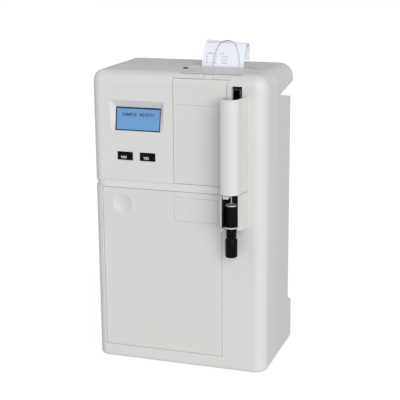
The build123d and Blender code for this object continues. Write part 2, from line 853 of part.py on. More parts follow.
# Wire hoop that keeps the paper from falling forward: two long arcs and a short one
hoop_inset = hoop_half - hoop_top_radius
hoop_rise = hoop_tall - hoop_top_radius
hoop_turn = 2 * atan2(hoop_inset, hoop_rise)
hoop_side_radius = hoop_rise / sin(hoop_turn) + hoop_top_radius
hoop_plane = Plane(
    origin=(hoop_x, front_y + hoop_depth, top_z),
    x_dir=(1, 0, 0),
    z_dir=(0, -cos(radians(hoop_lean)), sin(radians(hoop_lean))),
)
with BuildPart() as paper_guide_wire:
    with BuildLine(hoop_plane) as hoop_path:
        foot = Line((-hoop_half, -wall), (-hoop_half, 0))
        rise = JernArc(foot @ 1, foot % 1, hoop_side_radius, -degrees(hoop_turn))
        crown = JernArc(rise @ 1, rise % 1, hoop_top_radius, 2 * degrees(hoop_turn) - 180)
        fall = JernArc(crown @ 1, crown % 1, hoop_side_radius, -degrees(hoop_turn))
        Line(fall @ 1, (hoop_half, -wall))
    with BuildSketch(Plane(origin=hoop_path.line @ 0, z_dir=hoop_path.line % 0)):
        Circle(hoop_wire)
    sweep()
paper_guide_wire.part.label = "paper_guide_wire"
export_step(paper_guide_wire.part, "parts/paper_guide_wire.step")

# Status lamp on the top
with BuildPart() as status_lamp:
    rod_z(lamp_x, front_y + lamp_depth, top_z, top_z + lamp_proud, lamp_radius)
    fillet(status_lamp.faces().sort_by(Axis.Z)[-1].edges(), lamp_proud * 0.7)
    rod_z(lamp_x, front_y + lamp_depth, top_z - wall - lamp_barb, top_z, lamp_radius - 0.6 - slack)
status_lamp.part.label = "status_lamp"
export_step(status_lamp.part, "parts/status_lamp.step")

# Display: the lens lies behind the bezel's lip and the module carries pegs to its board
with BuildPart() as display_lens:
    with BuildSketch(screen_plane.offset(-screen_lip)):
        Rectangle(screen_width + 2 * lens_margin, screen_tall + 2 * lens_margin)
    extrude(amount=-lens_thick)
display_lens.part.label = "display_lens"
export_step(display_lens.part, "parts/display_lens.step")

with BuildPart() as lcd_module:
    with BuildSketch(screen_plane.offset(-screen_lip - lens_thick)):
        Rectangle(module_width, module_tall)
    extrude(amount=-module_thick)
    for x in (-1, 1):
        for z in (-1, 1):
            bar_y(screen_x + x * peg_x, screen_height + z * peg_z, peg_depth + 2 * z, board_depth,
                  peg_radius)
lcd_module.part.label = "lcd_module"
export_step(lcd_module.part, "parts/lcd_module.step")

switch_face = board_depth - switch_body - switch_stem
with BuildPart() as display_board:
    cell(board_left, board_right, board_depth, board_depth + board_thick, board_height_low,
         board_height_high)
    for x in key_xs:
        cell(x - switch_body / 2, x + switch_body / 2, board_depth - switch_body, board_depth,
             key_height - switch_body / 2, key_height + switch_body / 2)
        bar_y(x, key_height, switch_face, board_depth - switch_body, key_stem - 0.25)
    cell(screen_x - 4 * board_plug, screen_x + 4 * board_plug, board_depth + board_thick,
         board_depth + board_thick + board_plug, board_height_low + board_plug,
         board_height_low + 2 * board_plug)
display_board.part.label = "display_board"
export_step(display_board.part, "parts/display_board.step")


def key_solid(x):
    """One push key with its flange behind the wall and its stem towards the switch."""
    with BuildPart() as key:
        cell(x - key_width / 2, x + key_width / 2, -key_proud, wall + slack, key_height - key_tall / 2,
             key_height + key_tall / 2)
        fillet(key.faces().sort_by(Axis.Y)[0].edges(), key_round)
        cell(x - key_width / 2 - key_rim, x + key_width / 2 + key_rim, wall + slack,
             wall + slack + key_flange, key_height - key_tall / 2 - key_rim,
             key_height + key_tall / 2 + key_rim)
        bar_y(x, key_height, wall, switch_face - key_travel - slack, key_stem)
    return key.part


with BuildPart() as no_key:
    add(key_solid(key_xs[0]))
no_key.part.label = "no_key"
export_step(no_key.part, "parts/no_key.step")

with BuildPart() as yes_key:
    add(key_solid(key_xs[1]))
yes_key.part.label = "yes_key"
export_step(yes_key.part, "parts/yes_key.step")

# Printer frame with a trough in which the paper roll lies
gear_x = paper_left + paper_width + frame_wall + 2.2
frame_left = paper_left - frame_wall - 1.5
frame_right = paper_left + paper_width + frame_wall + 1.5
platen_height = body_height - platen_drop
roll_height = body_height - roll_drop
frame_high = platen_height + 10.0
gear_pitch = gear_module * gear_teeth / 2
pinion_pitch = gear_module * pinion_teeth / 2
pinion_step = (gear_pitch + pinion_pitch + mesh_slack) * cos(radians(45))
pinion_depth = platen_depth - pinion_step
pinion_height = platen_height - pinion_step
with BuildPart() as printer_frame:
    for x in (frame_left, frame_right - frame_wall):
        with BuildSketch(Plane.YZ.offset(x)):
            with BuildLine():
                Polyline(
                    (front_y + frame_front_depth, low_z + frame_low_height),
                    (front_y + pinion_depth + 2, low_z + frame_low_height),
                    (front_y + pinion_depth + 2, low_z + frame_step_height),
                    (front_y + notch_depth - 2, low_z + frame_notch_height),
                    (front_y + frame_rear_depth, low_z + frame_notch_height),
                    (front_y + frame_rear_depth, low_z + frame_high),
                    (front_y + platen_depth - 12, low_z + frame_high),
                    (front_y + platen_depth - 20, low_z + roll_height + 4),
                    (front_y + frame_front_depth, low_z + roll_height + 4),
                    close=True,
                )
            make_face()
        extrude(amount=frame_wall)
    cell(frame_left, frame_right, frame_front_depth, pinion_depth + 2, frame_low_height,
         frame_low_height + frame_wall)
    cell(frame_left + 1, frame_right - 1, frame_front_depth, roll_depth + roll_radius, frame_low_height + 1,
         roll_height - roll_radius + 5)
    bar_x(roll_depth, roll_height, frame_left + frame_wall, frame_right - frame_wall, roll_radius + clear,
          Mode.SUBTRACT)
    bar_x(platen_depth, platen_height, frame_left - 1, frame_right + 1, shaft_radius + slack, Mode.SUBTRACT)
    bar_x(pinion_depth, pinion_height, frame_right - frame_wall - 1, frame_right + 1,
          shaft_radius + slack, Mode.SUBTRACT)
printer_frame.part.label = "printer_frame"
export_step(printer_frame.part, "parts/printer_frame.step")

head_depth = platen_depth + platen_radius + 0.9
with BuildPart() as print_head:
    cell(frame_left + frame_wall, frame_right - frame_wall, head_depth, head_depth + head_thick,
         platen_height - head_sink, platen_height + head_rise)
print_head.part.label = "print_head"
export_step(print_head.part, "parts/print_head.step")

with BuildPart() as platen_roller:
    bar_x(platen_depth, platen_height, paper_left, paper_left + paper_width, platen_radius)
    bar_x(platen_depth, platen_height, frame_left - 0.5, gear_x + gear_wide, shaft_radius)
platen_roller.part.label = "platen_roller"
export_step(platen_roller.part, "parts/platen_roller.step")


def spur_gear(depth, height, teeth, turned):
    """A spur gear on an axis along X, with straight flanks."""
    pitch = gear_module * teeth / 2
    root = pitch - 1.25 * gear_module
    tip = pitch + gear_module
    plane = Plane(origin=(gear_x, front_y + depth, low_z + height), x_dir=(0, 1, 0), z_dir=(1, 0, 0))
    with BuildPart() as gear:
        with BuildSketch(plane):
            Circle(root)
            for tooth in range(teeth):
                with Locations(Location((0, 0), turned + tooth * 360 / teeth)):
                    Polygon((root - 0.5, -0.26 * pi * gear_module), (tip, -0.13 * pi * gear_module),
                            (tip, 0.13 * pi * gear_module), (root - 0.5, 0.26 * pi * gear_module),
                            align=None)
        extrude(amount=gear_wide)
    return gear.part


with BuildPart() as platen_gear:
    add(spur_gear(platen_depth, platen_height, gear_teeth, 0))
    bar_x(platen_depth, platen_height, gear_x - 1, gear_x + gear_wide + 1, shaft_radius, Mode.SUBTRACT)
platen_gear.part.label = "platen_gear"
export_step(platen_gear.part, "parts/platen_gear.step")

with BuildPart() as motor_pinion:
    add(spur_gear(pinion_depth, pinion_height, pinion_teeth, 45 % (360 / pinion_teeth)))
    bar_x(pinion_depth, pinion_height, frame_right - frame_wall - 8, gear_x + gear_wide, shaft_radius)
motor_pinion.part.label = "motor_pinion"
export_step(motor_pinion.part, "parts/motor_pinion.step")

with BuildPart() as printer_motor:
    bar_x(pinion_depth, pinion_height, frame_right - frame_wall - printer_motor_long,
          frame_right - frame_wall, printer_motor_radius)
    bar_x(pinion_depth, pinion_height, frame_right - frame_wall - 9, frame_right, shaft_radius + slack,
          Mode.SUBTRACT)
printer_motor.part.label = "printer_motor"
export_step(printer_motor.part, "parts/printer_motor.step")

# Paper: the roll, and the slip that stands up between the platen and the head
with BuildPart() as paper_roll:
    bar_x(roll_depth, roll_height, paper_left, paper_left + paper_width, roll_radius)
    bar_x(roll_depth, roll_height, paper_left - 1, paper_left + paper_width + 1, roll_core, Mode.SUBTRACT)
paper_roll.part.label = "paper_roll"
export_step(paper_roll.part, "parts/paper_roll.step")

slip_depth = platen_depth + platen_radius + 0.2
slip_low = low_z + platen_height - 6
slip_bend = top_z - 4
slip_turn = 2 * atan2(slip_lean, low_z + slip_height - slip_bend)
slip_radius = (low_z + slip_height - slip_bend) / sin(slip_turn)


def slip_point(radius, turn):
    """A point of the slip's bend, in the plane across it."""
    return (front_y + slip_depth + slip_radius - radius * cos(turn), slip_bend + radius * sin(turn))


with BuildPart() as paper_slip:
    with BuildSketch(Plane.YZ.offset(paper_left)):
        with BuildLine():
            rear = slip_radius - paper_thick
            Polyline(
                slip_point(slip_radius, 0),
                (front_y + slip_depth, slip_low),
                (front_y + slip_depth + paper_thick, slip_low),
                slip_point(rear, 0),
            )
            ThreePointArc(slip_point(rear, 0), slip_point(rear, slip_turn / 2), slip_point(rear, slip_turn))
            Line(slip_point(rear, slip_turn), slip_point(slip_radius, slip_turn))
            ThreePointArc(
                slip_point(slip_radius, slip_turn),
                slip_point(slip_radius, slip_turn / 2),
                slip_point(slip_radius, 0),
            )
        make_face()
    extrude(amount=paper_width)
paper_slip.part.label = "paper_slip"
export_step(paper_slip.part, "parts/paper_slip.step")

# Sampler cover and its base in front of the pillar
with BuildPart() as sampler_cover:
    add(sampler_solid(0, low_z + cover_height_low, low_z + cover_height_high))
    add(sampler_solid(cover_wall, low_z + cover_height_low - 1, low_z + cover_height_high + 1, 5),
        mode=Mode.SUBTRACT)
sampler_cover.part.label = "sampler_cover"
export_step(sampler_cover.part, "parts/sampler_cover.step")

channel_left = cover_left + base_cheek
with BuildPart() as sampler_base:
    add(sampler_solid(0, low_z + base_height_low, low_z + cover_height_low - cover_gap))
    cell(channel_left, base_right, -cover_reach - 1, -clear - base_web, base_height_low - 1,
         cover_height_low + 1, Mode.SUBTRACT)
    cell(base_right - 1, cover_flare, -cover_reach - 1, base_wall_depth, base_height_low - 1,
         cover_height_low + 1, Mode.SUBTRACT)
    cell(channel_left - 0.5, guide_right, guide_front, -clear - 0.5, guide_height_low, guide_height_high)
    cell(channel_left - 0.5, base_right + 0.5, probe_depth, -clear - 0.5, wiper_plate_height,
         wiper_plate_height + wiper_plate)
    bar_z(probe_x, probe_depth, wiper_height_low - clear, guide_height_low - clear,
          wiper_radius + slack, Mode.SUBTRACT)
sampler_base.part.label = "sampler_base"
export_step(sampler_base.part, "parts/sampler_base.step")

dish_ball = (wiper_dish_radius**2 + wiper_dish_depth**2) / (2 * wiper_dish_depth)
with BuildPart() as probe_wiper:
    bar_z(probe_x, probe_depth, wiper_height_low, wiper_height_high, wiper_radius)
    chamfer(probe_wiper.faces().sort_by(Axis.Z)[-1].edges(), wiper_slope)
    with Locations((probe_x, front_y + probe_depth,
                    low_z + wiper_height_high - wiper_dish_depth + dish_ball)):
        Sphere(dish_ball, mode=Mode.SUBTRACT)
    bar_z(probe_x, probe_depth, wiper_height_low - 1, wiper_height_high, wiper_bore, Mode.SUBTRACT)
probe_wiper.part.label = "probe_wiper"
export_step(probe_wiper.part, "parts/probe_wiper.step")

with BuildPart() as sample_probe:
    bar_z(probe_x, probe_depth, needle_tip_height, needle_top_height, needle_radius)
    chamfer(sample_probe.faces().sort_by(Axis.Z)[0].edges(), needle_radius * 0.6)
sample_probe.part.label = "sample_probe"
export_step(sample_probe.part, "parts/sample_probe.step")

with BuildPart() as sample_vial:
    bar_z(probe_x, probe_depth, vial_height_low, vial_shoulder_height, vial_radius)
    fillet(sample_vial.faces().sort_by(Axis.Z)[0].edges(), vial_radius * 0.5)
    chamfer(sample_vial.faces().sort_by(Axis.Z)[-1].edges(), vial_radius - vial_neck_radius - 0.3)
    bar_z(probe_x, probe_depth, vial_shoulder_height - 1, vial_height_high, vial_neck_radius)
    bar_z(probe_x, probe_depth, vial_height_low + vial_wall + 1, vial_shoulder_height - 4,
          vial_radius - vial_wall, Mode.SUBTRACT)
    bar_z(probe_x, probe_depth, vial_shoulder_height - 5, vial_height_high + 1, vial_bore, Mode.SUBTRACT)
sample_vial.part.label = "sample_vial"
export_step(sample_vial.part, "parts/sample_vial.step")

ring_inner = vial_neck_radius + clear
with BuildPart() as vial_clip:
    bar_z(probe_x, probe_depth, clip_height_low, base_height_low - 0.5, ring_inner + clip_wall)
    cell(probe_x - 3, probe_x + 3, probe_depth + ring_inner, -clear, base_height_low - 4, base_height_low)
    bar_z(probe_x, probe_depth, clip_height_low - 1, base_height_low + 1, ring_inner, Mode.SUBTRACT)
vial_clip.part.label = "vial_clip"
export_step(vial_clip.part, "parts/vial_clip.step")

# Drive of the probe: a carriage on two rods, moved by a lead screw
arm_depth = drive_depth - carriage_deep / 2
tab_height = carriage_height - carriage_tall / 4
with BuildPart() as probe_carriage:
    cell(screw_x - carriage_wide / 2, screw_x + carriage_wide / 2, arm_depth, arm_depth + carriage_deep,
         carriage_height - carriage_tall / 2, carriage_height + carriage_tall / 2)
    cell(probe_x - arm_wide / 2, probe_x + arm_wide / 2, probe_depth - arm_nose, arm_depth + 1,
         carriage_height - arm_tall / 2, carriage_height + arm_tall / 2)
    cell(hose_x - hose_tab, hose_x + hose_tab, arm_depth + carriage_deep - 1, hose_depth + hose_tab,
         tab_height, tab_height + 6)
    for x in (-rod_pitch / 2, rod_pitch / 2):
        bar_z(screw_x + x, drive_depth, bracket_height_low, bracket_height_high, rod_radius + slack,
              Mode.SUBTRACT)
    bar_z(screw_x, drive_depth, bracket_height_low, bracket_height_high, screw_radius + slack, Mode.SUBTRACT)
    bar_z(probe_x, probe_depth, bracket_height_low, bracket_height_high, needle_radius, Mode.SUBTRACT)
probe_carriage.part.label = "probe_carriage"
export_step(probe_carriage.part, "parts/probe_carriage.step")

bracket_top = bracket_height_high + bracket_sheet
with BuildPart() as guide_rods:
    for x in (-rod_pitch / 2, rod_pitch / 2):
        bar_z(screw_x + x, drive_depth, bracket_height_low, bracket_top, rod_radius)
guide_rods.part.label = "guide_rods"
export_step(guide_rods.part, "parts/guide_rods.step")

with BuildPart() as lead_screw:
    bar_z(screw_x, drive_depth, bracket_height_low + bracket_sheet + clear, bracket_height_high - clear,
          screw_radius)
    bar_z(screw_x, drive_depth, bracket_height_low - 8, bracket_top, screw_journal)
lead_screw.part.label = "lead_screw"
export_step(lead_screw.part, "parts/lead_screw.step")

bracket_left = screw_x - bracket_wide / 2
bracket_right = screw_x + bracket_wide / 2
with BuildPart() as sampler_bracket:
    for z in (bracket_height_low, bracket_height_high):
        cell(bracket_left, bracket_right, bracket_front, bracket_depth + bracket_sheet, z, z + bracket_sheet)
    cell(bracket_left, bracket_right, bracket_depth, bracket_depth + bracket_sheet, bracket_height_low,
         bracket_top)
    cell(bracket_right - bracket_sheet, bracket_right, bracket_depth, chassis_depth, bracket_height_low,
         chassis_height_high)
    for x in (-rod_pitch / 2, rod_pitch / 2):
        bar_z(screw_x + x, drive_depth, bracket_height_low - 1, bracket_top + 1, rod_radius, Mode.SUBTRACT)
    bar_z(screw_x, drive_depth, bracket_height_low - 1, bracket_top + 1, screw_journal + slack, Mode.SUBTRACT)
sampler_bracket.part.label = "sampler_bracket"
export_step(sampler_bracket.part, "parts/sampler_bracket.step")

with BuildPart() as sampler_motor:
    cell(screw_x - motor_size / 2, screw_x + motor_size / 2, drive_depth - motor_size / 2,
         drive_depth + motor_size / 2, bracket_height_low - motor_tall, bracket_height_low)
    chamfer(sampler_motor.edges().filter_by(Axis.Z), 3)
    bar_z(screw_x, drive_depth, bracket_height_low - 9, bracket_height_low + 1, screw_journal + slack,
          Mode.SUBTRACT)
sampler_motor.part.label = "sampler_motor"
export_step(sampler_motor.part, "parts/sampler_motor.step")

with BuildPart() as probe_tube:
    bar_z(hose_x, hose_depth, bracket_height_low + bracket_sheet, tab_height, hose_radius)
    bar_z(hose_x, hose_depth, bracket_height_low, tab_height + 1, hose_bore, Mode.SUBTRACT)
probe_tube.part.label = "probe_tube"
export_step(probe_tube.part, "parts/probe_tube.step")

# Chassis plate between the two shells
with BuildPart() as chassis_plate:
    cell(chassis_inset - half, half - chassis_inset, chassis_depth, chassis_depth + chassis_sheet, wall + gap,
         chassis_height_high)
    for x in (-1, 1):
        bar_y(x * screw_x_low, screw_height_low, chassis_depth - 1, chassis_depth + chassis_sheet + 1,
              screw_shank + slack, Mode.SUBTRACT)
        bar_y(x * screw_x_high, screw_height_high, chassis_depth - 1, chassis_depth + chassis_sheet + 1,
              screw_shank + slack, Mode.SUBTRACT)
    cell(bracket_left - 2, bracket_right - 8, chassis_depth - 1, chassis_depth + chassis_sheet + 1,
         cutout_height_low, cutout_height_high, Mode.SUBTRACT)
chassis_plate.part.label = "chassis_plate"
export_step(chassis_plate.part, "parts/chassis_plate.step")

# Reagent bay behind the main door, its pack and the manifold at the back of it
with BuildPart() as reagent_bay:
    cell(bay_left, bay_right, jamb_depth, chassis_depth, bay_height_low, bay_height_high)
    cell(bay_left - bay_flange, bay_right + bay_flange, jamb_depth, jamb_depth + bay_wall,
         bay_height_low - bay_flange, bay_height_high + bay_flange)
    cell(bay_left + bay_wall, bay_right - bay_wall, jamb_depth - 1, chassis_depth - bay_wall,
         bay_height_low + bay_wall, bay_height_high - bay_wall, Mode.SUBTRACT)
reagent_bay.part.label = "reagent_bay"
export_step(reagent_bay.part, "parts/reagent_bay.step")

nozzle_xs = [manifold_x + (index - (nozzle_count - 1) / 2) * nozzle_pitch for index in range(nozzle_count)]
with BuildPart() as pack_manifold:
    cell(nozzle_xs[0] - nozzle_pitch, nozzle_xs[-1] + nozzle_pitch, manifold_depth, chassis_depth - bay_wall,
         manifold_height - manifold_tall / 2, manifold_height + manifold_tall / 2)
    for x in nozzle_xs:
        bar_y(x, manifold_height, manifold_depth - nozzle_long, manifold_depth, nozzle_radius)
        bar_y(x, manifold_height, manifold_depth - nozzle_long - 1, manifold_depth + 4, lumen, Mode.SUBTRACT)
pack_manifold.part.label = "pack_manifold"
export_step(pack_manifold.part, "parts/pack_manifold.step")

with BuildPart() as reagent_pack:
    cell(bay_left + bay_wall + pack_side, bay_right - bay_wall - pack_side, pack_depth,
         pack_depth + pack_deep, bay_height_low + bay_wall, pack_height_high)
    fillet(reagent_pack.edges().filter_by(Axis.Y), pack_round)
    cell((bay_left + bay_right - grip_wide) / 2, (bay_left + bay_right + grip_wide) / 2, pack_depth - 1,
         pack_depth + grip_deep, pack_height_high - 2 * grip_tall, pack_height_high - grip_tall,
         Mode.SUBTRACT)
    for x in nozzle_xs:
        bar_y(x, manifold_height, pack_depth + pack_deep - nozzle_long - 2, pack_depth + pack_deep + 1,
              nozzle_radius + slack, Mode.SUBTRACT)
reagent_pack.part.label = "reagent_pack"
export_step(reagent_pack.part, "parts/reagent_pack.step")

# Fluid plate, a folded sheet that carries the pump, the valve and the electrodes
with BuildPart() as fluid_plate:
    cell(fluid_left, fluid_right, fluid_depth, fluid_depth + fluid_sheet, fluid_height_low, fluid_height_high)
    for x in (fluid_left, fluid_right - fluid_sheet):
        cell(x, x + fluid_sheet, fluid_depth, chassis_depth, fluid_height_low, fluid_height_high)
    for z in (pump_height, valve_height):
        bar_y(pump_x, z, fluid_depth - 1, fluid_depth + fluid_sheet + 1, shaft_radius + slack, Mode.SUBTRACT)
fluid_plate.part.label = "fluid_plate"
export_step(fluid_plate.part, "parts/fluid_plate.step")

with BuildPart() as pump_body:
    bar_y(pump_x, pump_height, pump_front_depth, fluid_depth, pump_outer)
    cell(pump_x - pump_outer, pump_x + pump_outer, pump_front_depth, fluid_depth,
         pump_foot_height - pump_foot_wide / 2, pump_height)
    bar_y(pump_x, pump_height, pump_front_depth - 1, fluid_depth + 1, pump_inner, Mode.SUBTRACT)
    cell(pump_x - pump_inner, pump_x + pump_inner, pump_front_depth - 1, fluid_depth + 1, pump_foot_height,
         pump_height, Mode.SUBTRACT)
    cell(pump_x - pump_outer + pump_foot_wide, pump_x + pump_outer - pump_foot_wide, pump_front_depth - 1,
         fluid_depth + 1, pump_foot_height - pump_foot_wide, pump_foot_height + 1, Mode.SUBTRACT)
    cell(pump_x - pump_outer - 1, pump_x + pump_outer + 1, pump_front_depth - 1, fluid_depth + 1,
         pump_height - 2 * pump_outer, pump_foot_height - pump_foot_wide / 2, Mode.SUBTRACT)
pump_body.part.label = "pump_body"
export_step(pump_body.part, "parts/pump_body.step")

disc_depth = pump_front_depth + 1
far_disc_depth = fluid_depth - 1 - disc_thick
roller_angles = [90 + index * 360 / roller_count for index in range(roller_count)]
roller_seats = [
    (pump_x + roller_orbit * cos(radians(angle)), pump_height + roller_orbit * sin(radians(angle)))
    for angle in roller_angles
]
with BuildPart() as pump_rotor:
    bar_y(pump_x, pump_height, disc_depth, disc_depth + disc_thick, disc_radius)
    bar_y(pump_x, pump_height, far_disc_depth, far_disc_depth + disc_thick, disc_radius)
    bar_y(pump_x, pump_height, disc_depth, far_disc_depth, core_radius)
    bar_y(pump_x, pump_height, far_disc_depth, fluid_depth + fluid_sheet + 8, shaft_radius)
    for x, z in roller_seats:
        bar_y(x, z, disc_depth + 0.5, far_disc_depth + disc_thick - 0.5, roller_axle + slack, Mode.SUBTRACT)
pump_rotor.part.label = "pump_rotor"
export_step(pump_rotor.part, "parts/pump_rotor.step")

with BuildPart() as pump_rollers:
    for x, z in roller_seats:
        bar_y(x, z, disc_depth + disc_thick + slack, far_disc_depth - slack, roller_radius)
        bar_y(x, z, disc_depth + 0.5 + slack, far_disc_depth + disc_thick - 0.5 - slack, roller_axle)
pump_rollers.part.label = "pump_rollers"
export_step(pump_rollers.part, "parts/pump_rollers.step")

with BuildPart() as pump_motor:
    bar_y(pump_x, pump_height, fluid_depth + fluid_sheet, fluid_depth + fluid_sheet + pump_motor_long,
          pump_motor_radius)
    bar_y(pump_x, pump_height, fluid_depth, fluid_depth + fluid_sheet + 9, shaft_radius + slack,
          Mode.SUBTRACT)
pump_motor.part.label = "pump_motor"
export_step(pump_motor.part, "parts/pump_motor.step")

tube_bend = pump_inner - tube_radius - clear
tube_plane = Plane.XZ.offset(-(front_y + (pump_front_depth + fluid_depth) / 2))
with BuildPart() as pump_tube:
    with BuildLine(tube_plane) as tube_path:
        Line((pump_x - tube_bend, low_z + pump_foot_height), (pump_x - tube_bend, low_z + pump_height))
        ThreePointArc(
            (pump_x - tube_bend, low_z + pump_height),
            (pump_x, low_z + pump_height + tube_bend),
            (pump_x + tube_bend, low_z + pump_height),
        )
        Line((pump_x + tube_bend, low_z + pump_height), (pump_x + tube_bend, low_z + pump_foot_height))
    with BuildSketch(Plane(origin=tube_path.line @ 0, z_dir=tube_path.line % 0)):
        Circle(tube_radius)
    sweep()
pump_tube.part.label = "pump_tube"
export_step(pump_tube.part, "parts/pump_tube.step")

with BuildPart() as valve_body:
    cell(pump_x - valve_size / 2, pump_x + valve_size / 2, pump_front_depth, fluid_depth,
         valve_height - valve_size / 2, valve_height + valve_size / 2)
    fillet(valve_body.edges().filter_by(Axis.Y), 3)
    bar_y(pump_x, valve_height, pump_front_depth - 1, fluid_depth + 1, shaft_radius + slack, Mode.SUBTRACT)
valve_body.part.label = "valve_body"
export_step(valve_body.part, "parts/valve_body.step")

rotor_front = pump_front_depth - slack - valve_rotor_thick
with BuildPart() as valve_rotor:
    bar_y(pump_x, valve_height, rotor_front, pump_front_depth - slack, valve_rotor_radius)
    cell(pump_x - valve_key_wide / 2, pump_x + valve_key_wide / 2, rotor_front - 3, rotor_front,
         valve_height - valve_rotor_radius + 1, valve_height + 2)
    bar_y(pump_x, valve_height, rotor_front, fluid_depth + fluid_sheet + 8, shaft_radius)
valve_rotor.part.label = "valve_rotor"
export_step(valve_rotor.part, "parts/valve_rotor.step")

with BuildPart() as valve_motor:
    bar_y(pump_x, valve_height, fluid_depth + fluid_sheet, fluid_depth + fluid_sheet + valve_motor_long,
          valve_motor_radius)
    bar_y(pump_x, valve_height, fluid_depth, fluid_depth + fluid_sheet + 9, shaft_radius + slack,
          Mode.SUBTRACT)
valve_motor.part.label = "valve_motor"
export_step(valve_motor.part, "parts/valve_motor.step")

# Electrodes in their holder, with the lever that clamps the stack
stack_pitch = electrode_tall + electrode_gap
stack_top = stack_height + stack_pitch * len(electrode_names)
with BuildPart() as electrode_block:
    cell(holder_left, holder_right, holder_front, fluid_depth, holder_low_height, stack_top + holder_cap)
    cell(electrode_x - electrode_wide / 2 - slack, electrode_x + electrode_wide / 2 + slack,
         holder_front - 1, stack_front + electrode_deep + slack, stack_height - slack, stack_top,
         Mode.SUBTRACT)
    bar_y(lever_x, lever_height, holder_front - 1, lever_pin_depth + 1, shaft_radius + slack, Mode.SUBTRACT)
electrode_block.part.label = "electrode_block"
export_step(electrode_block.part, "parts/electrode_block.step")


def electrode_solid(index):
    """One electrode of the stack, with its membrane window and the sample's lumen."""
    low = stack_height + index * stack_pitch
    with BuildPart() as body:
        cell(electrode_x - electrode_wide / 2, electrode_x + electrode_wide / 2, stack_front,
             stack_front + electrode_deep, low, low + electrode_tall)
        bar_y(electrode_x, low + electrode_tall / 2, stack_front - 1, stack_front + window_deep,
              window_radius, Mode.SUBTRACT)
        bar_z(electrode_x, stack_front + electrode_deep / 2, low - 1, low + electrode_tall + 1, lumen,
              Mode.SUBTRACT)
    return body.part


for index, kind in enumerate(electrode_names):
    electrode = electrode_solid(index)
    electrode.label = kind + "_electrode"
    export_step(electrode, "parts/" + kind + "_electrode.step")

with BuildPart() as clamp_lever:
    cell(lever_x - lever_long, lever_x, lever_depth, holder_front - slack, lever_height - lever_half,
         lever_height + lever_half)
    bar_y(lever_x, lever_height, lever_depth, holder_front - slack, lever_half + 1)
    bar_y(lever_x, lever_height, lever_depth, lever_pin_depth, shaft_radius)
clamp_lever.part.label = "clamp_lever"
export_step(clamp_lever.part, "parts/clamp_lever.step")

# Boards and sockets at the back
main_depth = chassis_depth + chassis_sheet + standoff


def part_on_board(across, down, wide, tall, high):
    """A chip or plug on the main board, counted from the board's upper left corner."""
    left = main_left + across - wide / 2
    top = main_height_high - down + tall / 2
    cell(left, left + wide, main_depth + board_thick, main_depth + board_thick + high, top - tall, top)


with BuildPart() as main_board:
    cell(main_left, main_right, main_depth, main_depth + board_thick, main_height_low, main_height_high)
    for x in (main_left + standoff_inset, main_right - standoff_inset):
        for z in (main_height_low + standoff_inset, main_height_high - standoff_inset):
            bar_y(x, z, chassis_depth + chassis_sheet, main_depth, standoff_radius)
    part_on_board(chip_size, chip_size, chip_size, chip_size, chip_high)
    part_on_board(3 * chip_size, chip_size, chip_size, chip_size / 2, chip_high)
    part_on_board(3 * chip_size, 2.5 * chip_size, chip_size, chip_size / 2, plug_high)
    part_on_board(chip_size, 3 * chip_size, chip_size / 2, chip_size / 2, plug_high)
    part_on_board(2 * chip_size, 4.5 * chip_size, 2 * chip_size, chip_size / 3, plug_high)
main_board.part.label = "main_board"
export_step(main_board.part, "parts/main_board.step")

with BuildPart() as power_supply:
    supply_back = chassis_depth + chassis_sheet + supply_deep
    cell(supply_left, supply_right, chassis_depth + chassis_sheet, supply_back, supply_height_low,
         supply_height_high)
    for row in range(supply_slots):
        low = supply_height_low + slot_pitch * (row + 1)
        cell(supply_left + slot_pitch, supply_right - slot_pitch, supply_back - 1, supply_back + 1, low,
             low + slot_pitch / 3, Mode.SUBTRACT)
power_supply.part.label = "power_supply"
export_step(power_supply.part, "parts/power_supply.step")

with BuildPart() as power_inlet:
    cell(inlet_x - inlet_wide / 2, inlet_x + inlet_wide / 2, block_depth - inlet_deep, block_depth,
         inlet_height - inlet_tall / 2, inlet_height + inlet_tall / 2)
    cell(inlet_x - inlet_wide / 2 - inlet_rim, inlet_x + inlet_wide / 2 + inlet_rim, block_depth,
         block_depth + inlet_rim, inlet_height - inlet_tall / 2 - inlet_rim,
         inlet_height + inlet_tall / 2 + inlet_rim)
    cell(inlet_x - socket_wide / 2, inlet_x + socket_wide / 2, block_depth + inlet_rim - socket_deep,
         block_depth + inlet_rim + 1, socket_height - socket_tall / 2, socket_height + socket_tall / 2,
         Mode.SUBTRACT)
    cell(inlet_x - rocker_wide / 2 - clear, inlet_x + rocker_wide / 2 + clear, rocker_pivot - 12,
         block_depth + inlet_rim + 1, rocker_height - rocker_half - clear,
         rocker_height + rocker_half + clear, Mode.SUBTRACT)
    for x in (-1, 0, 1):
        middle = inlet_x + x * blade_pitch
        low = socket_height - abs(x) * blade_tall
        cell(middle - blade_wide / 2, middle + blade_wide / 2, block_depth + inlet_rim - socket_deep - 1,
             block_depth + inlet_rim - socket_deep + blade_long, low, low + blade_tall)
    bar_x(rocker_pivot, rocker_height, inlet_x - rocker_wide / 2 - clear - rocker_stub - slack,
          inlet_x + rocker_wide / 2 + clear + rocker_stub + slack, stub_radius + slack, Mode.SUBTRACT)
power_inlet.part.label = "power_inlet"
export_step(power_inlet.part, "parts/power_inlet.step")

